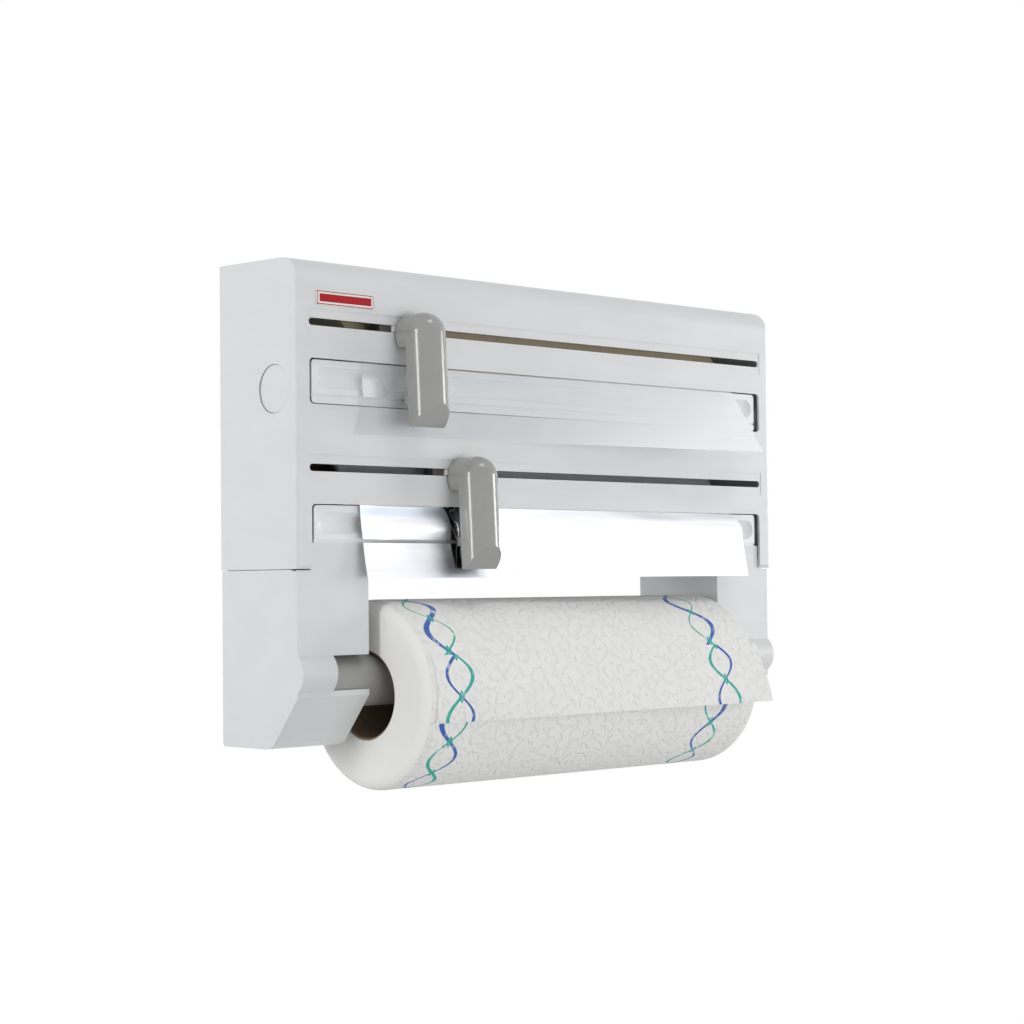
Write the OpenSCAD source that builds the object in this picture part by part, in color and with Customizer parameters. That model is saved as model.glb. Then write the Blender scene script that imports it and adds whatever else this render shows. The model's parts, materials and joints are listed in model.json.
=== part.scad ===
// Wall-mounted roll holder: cling film, aluminium foil below it, and a kitchen roll on an axle underneath.
// X runs to the right, Y into the wall and Z up. The wall is the plane Y = 0, so the front has negative Y.
// Heights are written from the bottom of the brackets. The finished part is then lowered so that the
// origin lies on the wall plane at the middle of the four screw holes.

/* [Overall] */
// Width over the cover
unit_w = 381.4; // [372:0.2:400]
// Height from the bottom of the brackets to the top of the cover at its front
unit_h = 260.2; // [258:0.2:275]
// How much higher the cover is at the wall than at its front
top_fall = 1.7; // [0:0.1:3]
// Depth from the wall to the front face of the cover
cover_d = 68.4; // [67:0.2:74]
// Height of the seam between the brackets and the cover
seam_z = 95.5; // [94:0.5:97]

/* [Cover] */
// Wall of the cover
cover_t = 1.6; // [1.2:0.1:2]
// Rounding between the top and the front of the cover
top_r = 13; // [8:0.5:16]
// Rounding of the upright front edges
edge_r = 1.6; // [1.3:0.1:4]
// Width of the legs beside the lower window
leg_w = 9.5; // [8:0.1:11]
// Gap between the cover and the wall behind it
rear_gap = 0.3; // [0.2:0.1:1]

/* [Slots and windows] */
// Height of the upper cutter slot
upper_slot_z = 226.2; // [224:0.2:229]
// Distance from the upper slot to the lower one
slot_pitch = 77.2; // [75:0.2:79]
// Opening of a cutter slot
slot_h = 4; // [3.4:0.1:5]
// Height of the shallow band around a slot
slot_band_h = 14; // [10:0.5:18]
// Depth of that band
slot_band_depth = 0.4; // [0.2:0.1:0.6]
// From the middle of a slot down to the window below it
window_drop = 19.2; // [17:0.2:21]
// Height of the upper window
window_h = 24.4; // [23:0.2:27]
// Corner rounding of the windows
window_r = 2.5; // [1:0.25:4]
// How much further the slots and the upper window reach to each side than the lower window
window_out = 1; // [0:0.2:2]

/* [Trays] */
// Thickness of a tray
tray_t = 2.4; // [2.2:0.1:3]
// How far a tray lies behind the front of the cover
tray_recess = 2; // [1.9:0.1:2.6]
// How far the upper tray reaches below its cutting groove
tray_drop = 4.4; // [4:0.1:4.7]
// How far the ends of a tray lie inside the ends of its window
tray_in = 2.8; // [2.4:0.1:4]
// Slit above a tray where the film or foil comes out
slit_h = 0.5; // [0.4:0.1:2]
// From the middle of a slot down to the cutting groove
groove_drop = 38.6; // [37.5:0.1:39.5]
// Height of the cutting groove
groove_h = 1; // [0.9:0.05:1.4]
// Depth of the cutting groove
groove_depth = 0.7; // [0.6:0.1:1.6]
// From the groove up to the middle of the finger trough
trough_rise = 9.4; // [9:0.1:9.8]
// Height of the finger trough
trough_h = 11.6; // [10:0.2:12]
// Radius of the hollow of the trough
trough_r = 7; // [6.5:0.1:8]
// Wall behind the trough
trough_wall = 1.6; // [1.2:0.1:1.8]
// From the end of a window to the end of the trough
trough_end = 4.6; // [4.4:0.1:6]

/* [Housing] */
// Thickness of the back panel
panel_t = 3; // [2.6:0.1:3.4]
// Thickness of the side cheeks
cheek_t = 2.3; // [2:0.1:3]
// Thickness of the floor and its apron
floor_t = 2.2; // [1.8:0.1:2.6]

/* [Wall screws] */
// Height of the middle of the screw holes
mount_z = 177.5; // [170:0.5:185]
// Distance across between the screw holes
mount_dx = 300; // [240:5:320]
// Distance up between the screw holes
mount_dz = 115; // [90:5:120]
// Radius of a screw hole
mount_r = 2.5; // [2:0.1:3]

/* [Brackets] */
// Gap between the kitchen roll and the brackets beside it
bracket_gap = 4.1; // [2:0.1:8]
// How far the sides of the brackets lie inside the sides of the cover
bracket_in = 0.7; // [0:0.1:1.5]
// Wall of a bracket
bracket_t = 2.2; // [1.8:0.1:2.6]
// Height where the sloping underside meets the front
lip_z = 28; // [26:0.5:30]
// How far the sloping underside runs back
slope_run = 23; // [20:0.5:26]
// Rounding where the slope meets the bottom
slope_r = 12; // [3:0.5:14]
// Rounding of the lower back edge
heel_r = 2; // [1:0.5:4]
// Wall of a bracket behind the end of the axle
socket_wall = 6.3; // [4:0.1:8]
// Height of the lip below the axle in the notch
notch_z = 31; // [30.5:0.25:32]
// Opening of the notch above its lip
notch_h = 18.6; // [17:0.1:19]
// Height of the middle of the bulge
bulge_z = 40.3; // [40:0.1:41]
// Height of the bulge where it leaves the front of a bracket
bulge_h = 19.4; // [18:0.2:20]
// How far the bulge stands proud of the front of a bracket
bulge_proud = 4.8; // [4:0.1:6]

/* [Axle] */
// Radius of the axle
axle_r = 14.4; // [14:0.1:14.5]
// Distance from the wall to the axle
axle_y = 51.3; // [51:0.1:51.5]
// Height of the axle
axle_z = 35.4; // [35:0.1:36]
// Radius of the pivots at the axle ends
pivot_r = 8; // [6:0.5:9]
// Length of a pivot
pivot_len = 16; // [14:0.5:17]
// Wall of the outer axle sleeve
sleeve_t = 1.8; // [1.5:0.1:2.2]
// Where the sleeve ends, to the right of the middle
sleeve_end_x = 60; // [50:1:80]
// How far the two halves of the axle overlap
axle_overlap = 50; // [40:1:70]
// Travel of the sprung half of the axle
axle_travel = 18; // [17:0.5:20]

/* [Kitchen roll] */
// Radius of the kitchen roll
paper_r = 52; // [45:0.1:52.6]
// Length of the kitchen roll
paper_len = 271; // [240:1:275]
// Shift of the kitchen roll to the right
paper_shift = 2.1; // [-6:0.1:6]
// How far the wall pushes the full roll to the front of its axle
paper_fwd = 1.9; // [0:0.1:3]
// How far its loose end lies inside the left end of the roll
flap_in = 6.5; // [0:0.5:12]
// How far its loose end stands off at the left
flap_stand = 1; // [1:0.5:8]
// How much further its loose end stands off at the right
flap_lean = 8; // [1:0.5:12]
// Inner radius of its cardboard core
paper_core_r = 23.5; // [20:0.1:24]
// Wall of its cardboard core
paper_core_t = 1; // [0.8:0.1:1.5]
// How far its cardboard core ends inside the roll
paper_core_in = 0.8; // [0:0.1:4]

/* [Film and foil] */
// Length of the film and foil rolls
roll_len = 302; // [290:1:306]
// Shift of the film to the right
film_shift = 4.5; // [0:0.5:6]
// Shift of the foil to the right
foil_shift = 2.6; // [0:0.2:6]
// Radius of the film roll
film_r = 24; // [21:0.5:25]
// Radius over the core of the film roll
film_core_r = 16; // [14:0.5:20.5]
// Distance from the wall to the middle of the film roll
film_y = 34; // [33:0.25:35]
// Height of the film roll
film_z = 213; // [212:0.25:214]
// Radius of the foil roll
foil_r = 22; // [21:0.5:25]
// Radius over the core of the foil roll
foil_core_r = 20; // [16:0.5:20.5]
// Distance from the wall to the middle of the foil roll
foil_y = 34; // [33:0.25:35]
// Height of the foil roll
foil_z = 135.8; // [135:0.2:136.6]
// Wall of both cardboard cores
tube_t = 1.5; // [1:0.1:2]
// Wall of the cradles under the rolls
cradle_t = 2; // [1.5:0.1:2.4]
// How far the free film hangs below its window top
film_hang = 39.5; // [34:0.5:42]
// How far the right end of the film leans out in front
film_lean = 25; // [10:0.5:26]
// How far the lower left corner of the film flares to the left
film_flare = 7; // [0:0.5:10]
// How far the free foil hangs below its window top
foil_hang = 39.5; // [34:0.5:41]
// How far the foil leans out below its cutting line
foil_lean = 5; // [2:0.5:8]
// How far the right end of the foil bulges out above its cutting line
foil_bulge = 8; // [2:0.5:10]
// Thickness of the solids that stand for film, foil and loose paper
sheet_t = 0.4; // [0.3:0.05:0.5]

/* [Cutters] */
// Where the upper cutter stands, from the middle
upper_cutter_x = -112; // [-160:1:160]
// Where the lower cutter stands, from the middle
lower_cutter_x = -74.5; // [-160:0.5:160]
// Half the width of a cutter handle
handle_r = 11.7; // [10:0.1:13]
// Gap between the bend of a handle and the front of the cover
handle_gap = 9.2; // [9:0.2:12]
// Flat depth of a handle behind its rounded front
handle_flat = 2.4; // [2:0.2:6]
// From the middle of a slot down to the bottom of a handle
handle_drop = 54; // [46:0.5:56]
// From the middle of a slot down to the bend of the handle
handle_bend = 3; // [1:0.25:5]
// How far a handle leans out towards its bottom, in degrees
handle_lean = 3; // [0:0.5:6]
// Slope of the cut face under a handle
handle_cut = 45; // [35:1:50]
// From the middle of a slot down to the flat underside of the neck
neck_low = 10.2; // [9:0.1:12]
// Width of a blade
blade_w = 10; // [6:0.5:12]
// Thickness of a blade
blade_t = 0.5; // [0.4:0.05:0.6]
// How far a blade reaches into the cutting groove
blade_reach = 0.4; // [0.2:0.1:0.5]
// Reach of a guide to each side of the handle
guide_reach = 12.4; // [12:0.2:20]
// Reach of a carriage to each side of the handle
carriage_reach = 20.5; // [18:0.5:24]
// Height of a carriage behind the cover
carriage_h = 12; // [9:0.5:14]
// Depth of a carriage behind the cover
carriage_d = 7.5; // [6:0.25:8]

/* [Release buttons] */
// Radius of a release button
button_r = 12.9; // [11:0.1:13.1]
// From the front of the cover back to the middle of a button
button_back = 19.9; // [19.5:0.1:22]
// Height of the buttons
button_z = 191.3; // [189:0.1:194]
// Thickness of a button
button_t = 2; // [1.6:0.1:2.4]
// Width of the rim that holds a button behind the cover
button_rim = 1; // [0.8:0.1:1.2]
// How far the rear edge of a button lies below the side of the cover
button_dip = 0.7; // [0.3:0.1:1]
// Travel of a button
button_travel = 1.5; // [1:0.1:1.6]

/* [Hinge] */
// Radius of the hinge pins
pin_r = 1; // [0.8:0.05:1.15]
// Distance of the pins behind the front of the housing
pin_in = 2.1; // [2:0.05:2.6]
// Height of the pins above the seam
pin_up = 3.2; // [3:0.05:3.6]
// Width of the ears that hold the pins
ear_w = 6; // [4:0.5:8]

/* [Badge] */
// Width of the blank badge
badge_w = 38.8; // [30:0.2:46]
// Height of the blank badge
badge_h = 7.6; // [6:0.2:9]
// Thickness of the blank badge
badge_t = 0.8; // [0.4:0.1:1.2]
// From the left edge of the cover to the badge
badge_in = 13.3; // [8:0.1:20]
// Height of the middle of the badge
badge_z = 239.2; // [238.6:0.1:241]

/* [Clearances] */
// Between the cover and the housing
fit_gap = 0.4; // [0.3:0.05:0.5]
// Between a roll and what it lies on, and beside moving pieces
run_gap = 0.3; // [0.25:0.05:0.4]
// Around pins, pivots and screws, on the radius
pin_clear = 0.05; // [0.02:0.01:0.08]

/* [Hidden] */
$fn = 64;

// A small length by which cutting and joining shapes pass each other
eps = 1;
half_w = unit_w / 2;
bracket_x = half_w - bracket_in;
side_in = half_w - cover_t;
leg_x = half_w - leg_w;
front_y = -cover_d;
cover_in_y = front_y + cover_t;
house_y = cover_in_y + fit_gap;
house_d = -house_y;
cheek_out = side_in - fit_gap;
cheek_in = cheek_out - cheek_t;
house_top = unit_h - cover_t - 2 * fit_gap;
bracket_top = seam_z - fit_gap;
floor_top = bracket_top + floor_t;
opening_x = paper_len / 2 + abs(paper_shift) + bracket_gap;
pivot_play = 1;
notch_x = bracket_x - socket_wall - pivot_len - pivot_play;
socket_t = 2.5;
bulge_r = (bulge_h * bulge_h / 4 + bulge_proud * bulge_proud) / (2 * bulge_proud);
bulge_y = house_y - bulge_proud + bulge_r;
inner_r = 0.3;
top_tilt = atan2(top_fall, cover_d);

lower_slot_z = upper_slot_z - slot_pitch;
upper_window_z = upper_slot_z - window_drop;
lower_window_z = lower_slot_z - window_drop;
upper_groove_z = upper_slot_z - groove_drop;
lower_groove_z = lower_slot_z - groove_drop;
groove_lip = 0.5;
apron_top = lower_groove_z - groove_h / 2 - groove_lip;
tray_y = front_y + tray_recess;
trough_out = sqrt(trough_r * trough_r - trough_h * trough_h / 4);
trough_x = leg_x - trough_end;
upper_tray_x = leg_x + window_out - tray_in;
lower_tray_x = leg_x - tray_in;
tray_r = 2;
cradle_drop = 0.6;

hinge_y = house_y + pin_in;
hinge_z = seam_z + pin_up;
ear_x = leg_x - fit_gap;
foot_wall = 1.6;
foot_back = pin_r + foot_wall;
hinge_reach = hinge_y - front_y;
pin_cap = 2;

axle_play = 0.5;
axle_end = notch_x - axle_play;
sleeve_bore = axle_r - sleeve_t;
plunger_r = sleeve_bore - 2 * pin_clear;
plunger_x = sleeve_end_x - axle_overlap;
plunger_t = 3;
plunger_bore = plunger_r - plunger_t;
axle_wire_r = 0.8;
flange_w = 14;
sleeve_cap = 3;
notch_gap = 0.4;

paper_y = -axle_y - paper_fwd;
paper_z = axle_z - sqrt(pow(paper_core_r - axle_r - run_gap, 2) - paper_fwd * paper_fwd);
paper_x0 = paper_shift - paper_len / 2;
film_x0 = film_shift - roll_len / 2;
foil_x0 = foil_shift - roll_len / 2;

button_y = front_y + button_back;
button_gap = 0.25;
rim_x = side_in - run_gap;
rim_t = 1;
rim_r = button_r + button_rim;
cup_in_r = rim_r + run_gap;
cup_t = 1.2;
cup_r = cup_in_r + cup_t;
spring_room = 1.1;
cup_floor_x = rim_x - rim_t - button_travel - spring_room;
cup_end_x = cup_floor_x - cup_t;
mouth_gap = 2.5;
mouth_r = cup_r + mouth_gap;
stem_r = 3;
spring_wire_r = 0.25;
spring_in = 4;
coil_gap = 0.05;

boss_r = 4;
boss_sink = 0.5;
boss_x = cheek_in - boss_r + boss_sink;
boss_len = 12;
screw_r = 1.45;
screw_pass_r = 1.7;
screw_grip_r = screw_r + 2 * pin_clear;
screw_head_r = 2.8;
screw_head_t = 1.6;
head_gap = 0.2;
thread_bite = 0.15;
low_screw_up = 28;
mid_screw_down = 26;
top_screw_down = 20;
rear_screw_z = [floor_top + low_screw_up, button_z - mid_screw_down, house_top - top_screw_down];
floor_screw_y = [-24, -46];

sheet_gap = 0.1;
sheet_in = 0.6;
sheet_step = 1.4;
stub_puff = 3;
blade_root = 5;
blade_root_y = front_y - handle_gap - blade_root;
badge_r = 1.8;

white = [0.9, 0.91, 0.92];
grey = [0.6, 0.6, 0.58];
steel = [0.75, 0.76, 0.78];
brown = [0.55, 0.43, 0.32];

// Shapes along the three axes. A flat shape for along_x is drawn in Y and Z, for along_y in X and Z.
module along_x(x0, x1) translate([x0, 0, 0]) rotate([90, 0, 90]) linear_extrude(x1 - x0) children();
module along_y(y0, y1) translate([0, y1, 0]) rotate([90, 0, 0]) linear_extrude(y1 - y0) children();
module along_z(z0, z1) translate([0, 0, z0]) linear_extrude(z1 - z0) children();
module rod_x(x0, x1, y, z, r) translate([x0, y, z]) rotate([0, 90, 0]) cylinder(h = x1 - x0, r = r);
module rod_y(y0, y1, x, z, r) translate([x, y1, z]) rotate([90, 0, 0]) cylinder(h = y1 - y0, r = r);
module rod_z(z0, z1, x, y, r) translate([x, y, z0]) cylinder(h = z1 - z0, r = r);
module bar(x0, x1, y0, y1, z0, z1) translate([x0, y0, z0]) cube([x1 - x0, y1 - y0, z1 - z0]);
module both_sides() {
    children();
    mirror([1, 0, 0]) children();
}

// What a rounding of radius r takes off the flat corner p, whose edges leave along a and b
module round_off(p, a, b, r) {
    half = acos(a * b) / 2;
    c = p + (a + b) / norm(a + b) * r / sin(half);
    t1 = p + a * r / tan(half);
    t2 = p + b * r / tan(half);
    k = 1.2;
    difference() {
        polygon([c, c + (t1 - c) * k, c + (p - c) * k, c + (t2 - c) * k]);
        translate(c) circle(r);
    }
}

// A flat rectangle with round corners
module round_rect(x0, x1, z0, z1, r) {
    translate([x0 + r, z0]) square([x1 - x0 - 2 * r, z1 - z0]);
    translate([x0, z0 + r]) square([x1 - x0, z1 - z0 - 2 * r]);
    for (x = [x0 + r, x1 - r], z = [z0 + r, z1 - r]) translate([x, z]) circle(r);
}

// A thin sheet as one solid: a grid of nu by nv cells, point(i, j) on its front and kept(i, j) for each cell
module sheet(nu, nv, t, point, kept) {
    front = [for (j = [0:nv], i = [0:nu]) point(i, j)];
    back = [for (p = front) p + [0, t, 0]];
    n = len(front);
    at = function(i, j) j * (nu + 1) + i;
    in_sheet = function(i, j) i >= 0 && i < nu && j >= 0 && j < nv && kept(i, j);
    wall = function(p, q) [[p, p + n, q + n], [p, q + n, q]];
    faces = [
        for (j = [0:nv - 1], i = [0:nu - 1]) if (in_sheet(i, j))
            let (a = at(i, j), b = at(i + 1, j), c = at(i + 1, j + 1), d = at(i, j + 1))
            each [
                [a, b, c], [a, c, d], [a + n, c + n, b + n], [a + n, d + n, c + n],
                each in_sheet(i, j - 1) ? [] : wall(a, b),
                each in_sheet(i + 1, j) ? [] : wall(b, c),
                each in_sheet(i, j + 1) ? [] : wall(c, d),
                each in_sheet(i - 1, j) ? [] : wall(d, a)
            ]
    ];
    polyhedron(concat(front, back), faces);
}

// A round wire wound around the X axis at y and z, from x0 to x1
module coil(x0, x1, y, z, r, wire_r, turns) {
    steps = 8;
    sides = 6;
    count = turns * steps;
    centre = [
        for (k = [0:count])
            [x0 + (x1 - x0) * k / count, r * cos(360 * k / steps), r * sin(360 * k / steps)]
    ];
    self_gap = min([for (k = [0:count - steps]) norm(centre[k + steps] - centre[k])]) - 2 * wire_r;
    echo(str("Gap between the turns of a spring, mm: ", self_gap));
    points = [
        for (k = [0:count], s = [0:sides - 1])
            centre[k] + wire_r * (cos(360 * s / sides) * [0, cos(360 * k / steps), sin(360 * k / steps)]
                + sin(360 * s / sides) * [1, 0, 0])
    ];
    at = function(k, s) k * sides + s % sides;
    tube = [
        for (k = [0:count - 1], s = [0:sides - 1])
            each [[at(k, s), at(k, s + 1), at(k + 1, s + 1)], [at(k, s), at(k + 1, s + 1), at(k + 1, s)]]
    ];
    caps = [
        for (s = [1:sides - 2])
            each [[at(0, 0), at(0, s + 1), at(0, s)], [at(count, 0), at(count, s), at(count, s + 1)]]
    ];
    translate([0, y, z]) polyhedron(points, concat(tube, caps));
}

// The back panel with its four wall screw holes
module back_panel() color(white) difference() {
    bar(-cheek_in, cheek_in, -panel_t, 0, bracket_top, house_top);
    for (x = [-1, 1] * mount_dx / 2, z = [-1, 1] * mount_dz / 2)
        rod_y(-panel_t - eps, eps, x, mount_z + z, mount_r);
    both_sides() for (z = rear_screw_z) {
        rod_y(-panel_t - eps, eps, -boss_x, z, screw_pass_r);
        rod_y(-screw_head_t - head_gap, eps, -boss_x, z, screw_head_r + head_gap);
    }
}

// Side view of a bracket, inset by w on every side but the back
module bracket_outline(w, back_y) {
    slope = atan2(lip_z, slope_run);
    polygon([
        [back_y, w],
        [-(house_d - slope_run) + w * tan(slope / 2), w],
        [-(house_d - w), lip_z + w * tan((90 - slope) / 2)],
        [-(house_d - w), bracket_top - w],
        [back_y, bracket_top - w]
    ]);
}

module bracket_shape() {
    slope = atan2(lip_z, slope_run);
    difference() {
        bracket_outline(0, 0);
        round_off([0, 0], [-1, 0], [0, 1], heel_r);
        round_off([-(house_d - slope_run), 0], [1, 0], [-cos(slope), sin(slope)], slope_r);
    }
}

// The left bracket: a moulded box, open to the wall, with the axle socket behind its bulge
module bracket() difference() {
    union() {
        difference() {
            along_x(-bracket_x, -opening_x) bracket_shape();
            along_x(-bracket_x + bracket_t, -opening_x - bracket_t) bracket_outline(bracket_t, eps);
        }
        along_x(-notch_x - bracket_t, -notch_x) bracket_outline(bracket_t / 2, -bracket_t);
        rod_x(-bracket_x, -notch_x, bulge_y, bulge_z, bulge_r);
        rod_x(-bracket_x, -notch_x, -axle_y, axle_z, pivot_r + socket_t);
        bar(-ear_x, -opening_x, house_y, house_y + floor_t, bracket_top - eps, apron_top);
        bar(-ear_x, -ear_x + ear_w, house_y, hinge_y + foot_back, bracket_top - eps, hinge_z + 2 * foot_back);
    }
    rod_x(-bracket_x + socket_wall, -notch_x + eps, -axle_y, axle_z, pivot_r + pin_clear);
    bar(-notch_x, -opening_x + eps, house_y - eps, -axle_y, notch_z, notch_z + notch_h);
    rod_x(-notch_x, -opening_x + eps, -axle_y, axle_z, axle_r + notch_gap);
    rod_x(-half_w - eps, -ear_x, hinge_y, hinge_z, hinge_reach + run_gap);
    rod_x(-ear_x - eps, -ear_x + ear_w + eps, hinge_y, hinge_z, pin_r + pin_clear);
    for (y = floor_screw_y) rod_z(bracket_top - bracket_t - eps, bracket_top + eps, -boss_x, y, screw_pass_r);
}

module left_bracket() color(white) bracket();
module right_bracket() color(white) mirror([1, 0, 0]) bracket();

// The left cheek: upright side wall of the housing with its screw bosses and an open mouth for the button
module cheek() difference() {
    step_y = hinge_y + 4 * foot_back;
    step_z = hinge_z + 4 * foot_back;
    union() {
        along_x(-cheek_out, -cheek_in) difference() {
            polygon([
                [0, floor_top], [step_y, floor_top], [step_y, step_z],
                [house_y + fit_gap, step_z], [house_y + fit_gap, house_top], [0, house_top]
            ]);
            round_off([house_y + fit_gap, house_top], [1, 0], [0, -1], top_r);
        }
        for (z = rear_screw_z) rod_y(-panel_t - boss_len, -panel_t, -boss_x, z, boss_r);
        for (y = floor_screw_y) rod_z(floor_top, floor_top + boss_len, -boss_x, y, boss_r);
    }
    bar(-cheek_out - eps, -cheek_in + eps, front_y, button_y + mouth_r,
        button_z - mouth_r, button_z + mouth_r);
    for (z = rear_screw_z) rod_y(-panel_t - boss_len + eps, -panel_t + eps, -boss_x, z, screw_grip_r);
    for (y = floor_screw_y) rod_z(floor_top - eps, floor_top + boss_len - eps, -boss_x, y, screw_grip_r);
}

module left_cheek() color(white) cheek();
module right_cheek() color(white) mirror([1, 0, 0]) cheek();

// The floor under the foil, with the apron that closes the front below the lower tray
module floor_shelf() color(white) difference() {
    union() {
        bar(-opening_x, opening_x, house_y, house_y + floor_t, bracket_top, apron_top);
        bar(-opening_x, opening_x, house_y, -panel_t, bracket_top, floor_top);
        bar(-cheek_out, cheek_out, hinge_y + 2 * foot_back, -panel_t, bracket_top, floor_top);
    }
    both_sides() for (y = floor_screw_y)
        rod_z(bracket_top - eps, floor_top + eps, -boss_x, y, screw_pass_r);
}

// The long hollow of a tray, as a rod with ball ends in front of the tray face
module trough(z, grow) {
    x = trough_x - trough_h / 2;
    rod_x(-x, x, tray_y - trough_out, z, trough_r + grow);
    for (s = [-1, 1]) translate([s * x, tray_y - trough_out, z]) sphere(trough_r + grow);
}

// A tray from z0 to z1 with the finger trough above its cutting groove. Its outline is a round-cornered
// plate of half length x that is drawn as far as under below z0 and cut off there.
module tray(x, z0, z1, under, groove_z) difference() {
    union() {
        along_y(tray_y, tray_y + tray_t) intersection() {
            round_rect(-x, x, z0 - under, z1, tray_r);
            translate([-x, z0]) square([2 * x, z1 - z0]);
        }
        intersection() {
            trough(groove_z + trough_rise, trough_wall);
            bar(-half_w, half_w, tray_y, tray_y + trough_r + trough_wall, z0, z1);
        }
    }
    trough(groove_z + trough_rise, 0);
    bar(-x - eps, x + eps, tray_y - eps, tray_y + groove_depth,
        groove_z - groove_h / 2, groove_z + groove_h / 2);
}

module upper_tray() color(white)
    tray(upper_tray_x, upper_groove_z - tray_drop, upper_window_z - slit_h, 0, upper_groove_z);
module lower_tray() color(white)
    tray(lower_tray_x, apron_top, lower_window_z - slit_h, 2 * tray_r, lower_groove_z);

// A cradle that holds a roll of radius r from below, with flanges to the back panel and to its tray
module cradle(x, y, z, r, rim_z) {
    bore = r + run_gap;
    x0 = x - run_gap;
    x1 = x + roll_len + run_gap;
    along_x(x0 - cradle_t, x1 + cradle_t) intersection() {
        difference() {
            translate([-y, z]) circle(bore + cradle_t);
            translate([-y, z]) circle(bore);
        }
        translate([-y - 2 * r, z - 2 * r]) square([4 * r, 2 * r + rim_z - z]);
    }
    for (end_x = [x0 - cradle_t, x1]) along_x(end_x, end_x + cradle_t) intersection() {
        translate([-y, z]) circle(bore + cradle_t / 2);
        translate([-y - 2 * r, z - 2 * r]) square([4 * r, 1.6 * r]);
    }
    rim_in = sqrt(pow(bore + cradle_t / 2, 2) - pow(rim_z - cradle_t / 2 - z, 2));
    bar(x0 - cradle_t, x1 + cradle_t, rim_in - y, -panel_t, rim_z - cradle_t, rim_z);
    bar(x0 - cradle_t, x1 + cradle_t, tray_y + tray_t, -y - rim_in, rim_z - cradle_t, rim_z);
}

module film_cradle() color(white)
    cradle(film_x0, film_y, film_z, film_r, upper_window_z - slit_h - cradle_drop);
module foil_cradle() color(white)
    cradle(foil_x0, foil_y, foil_z, foil_r, lower_window_z - slit_h - cradle_drop);

// The two pins on which the cover tips forward
module hinge_pins() color(steel) both_sides()
    rod_x(-half_w + pin_cap + head_gap, -ear_x + ear_w - run_gap, hinge_y, hinge_z, pin_r);

// Screws that hold the cheeks to the back panel and the brackets to the cheeks
module frame_screws() color(steel) both_sides() {
    for (z = rear_screw_z) {
        rod_y(-screw_head_t - head_gap, -head_gap, -boss_x, z, screw_head_r);
        rod_y(-panel_t - boss_len + 2 * eps, -screw_head_t, -boss_x, z, screw_r);
    }
    for (y = floor_screw_y) {
        rod_z(bracket_top - bracket_t - screw_head_t, bracket_top - bracket_t, -boss_x, y, screw_head_r);
        rod_z(bracket_top - bracket_t - eps, floor_top + boss_len - 2 * eps, -boss_x, y, screw_r);
    }
}

// The cover as a block in side view and in plan, inset by w
module cover_profile(w, back_y, z0) {
    front_top = unit_h - w + w * tan(top_tilt);
    back_top = unit_h - w + (back_y - front_y) * tan(top_tilt);
    difference() {
        polygon([[front_y + w, z0], [back_y, z0], [back_y, back_top], [front_y + w, front_top]]);
        round_off([front_y + w, front_top], [cos(top_tilt), sin(top_tilt)], [0, -1], top_r - w);
    }
}

module cover_plan(w, back_y) difference() {
    translate([-half_w + w, front_y + w]) square([unit_w - 2 * w, back_y - front_y - w]);
    for (s = [-1, 1]) round_off([s * (half_w - w), front_y + w], [-s, 0], [0, 1], max(edge_r - w, inner_r));
}

module cover_block(w, back_y, z0) intersection() {
    along_x(-half_w - eps, half_w + eps) cover_profile(w, back_y, z0);
    along_z(z0, unit_h + top_fall + eps) cover_plan(w, back_y);
}

// A cutter slot through the cover, with the shallow band around it
module slot_cut(z) {
    end_flat = 0.01;
    band_over = 2;
    along_y(front_y - eps, cover_in_y + eps)
        round_rect(-leg_x - window_out, leg_x + window_out, z - slot_h / 2, z + slot_h / 2,
            slot_h / 2 - end_flat);
    bar(-leg_x - band_over, leg_x + band_over, front_y - eps, front_y + slot_band_depth,
        z - slot_band_h / 2, z + slot_band_h / 2);
}

// The cover: front, sides and top in one shell, open to the wall and below
module front_cover() color(white) difference() {
    union() {
        difference() {
            cover_block(0, -rear_gap, seam_z);
            cover_block(cover_t, eps, seam_z - eps);
        }
        both_sides() bar(-side_in - cover_t / 2, -leg_x, cover_in_y - cover_t / 2, hinge_y + foot_back,
            seam_z, hinge_z + foot_back);
    }
    slot_cut(upper_slot_z);
    slot_cut(lower_slot_z);
    along_y(front_y - eps, cover_in_y + eps)
        round_rect(-leg_x - window_out, leg_x + window_out, upper_window_z - window_h, upper_window_z,
            window_r);
    along_y(front_y - eps, cover_in_y + eps)
        round_rect(-leg_x, leg_x, seam_z - 2 * window_r, lower_window_z, window_r);
    both_sides() {
        along_x(-half_w - eps, -leg_x + eps) difference() {
            translate([front_y - eps, seam_z - eps]) square([hinge_reach + eps, pin_up + eps]);
            translate([hinge_y, hinge_z]) circle(hinge_reach);
        }
        rod_x(-half_w + pin_cap, -leg_x + eps, hinge_y, hinge_z, pin_r + pin_clear);
        rod_x(-half_w - eps, -side_in + eps, button_y, button_z, button_r + button_gap);
    }
}

// The blank badge at the upper left
module badge_plate() color([0.78, 0.13, 0.17]) along_y(front_y - badge_t, front_y)
    round_rect(-half_w + badge_in, -half_w + badge_in + badge_w,
        badge_z - badge_h / 2, badge_z + badge_h / 2, badge_r);

// Rows of heights for a hanging sheet: above the cut line, then below it
function sheet_rows(top_z, cut_z, low_z, above, below) = concat(
    [for (k = [0:above]) top_z + (cut_z + groove_h / 2 - top_z) * k / above],
    [for (k = [0:below]) cut_z - groove_h / 2 + (low_z - cut_z + groove_h / 2) * k / below]);

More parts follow.
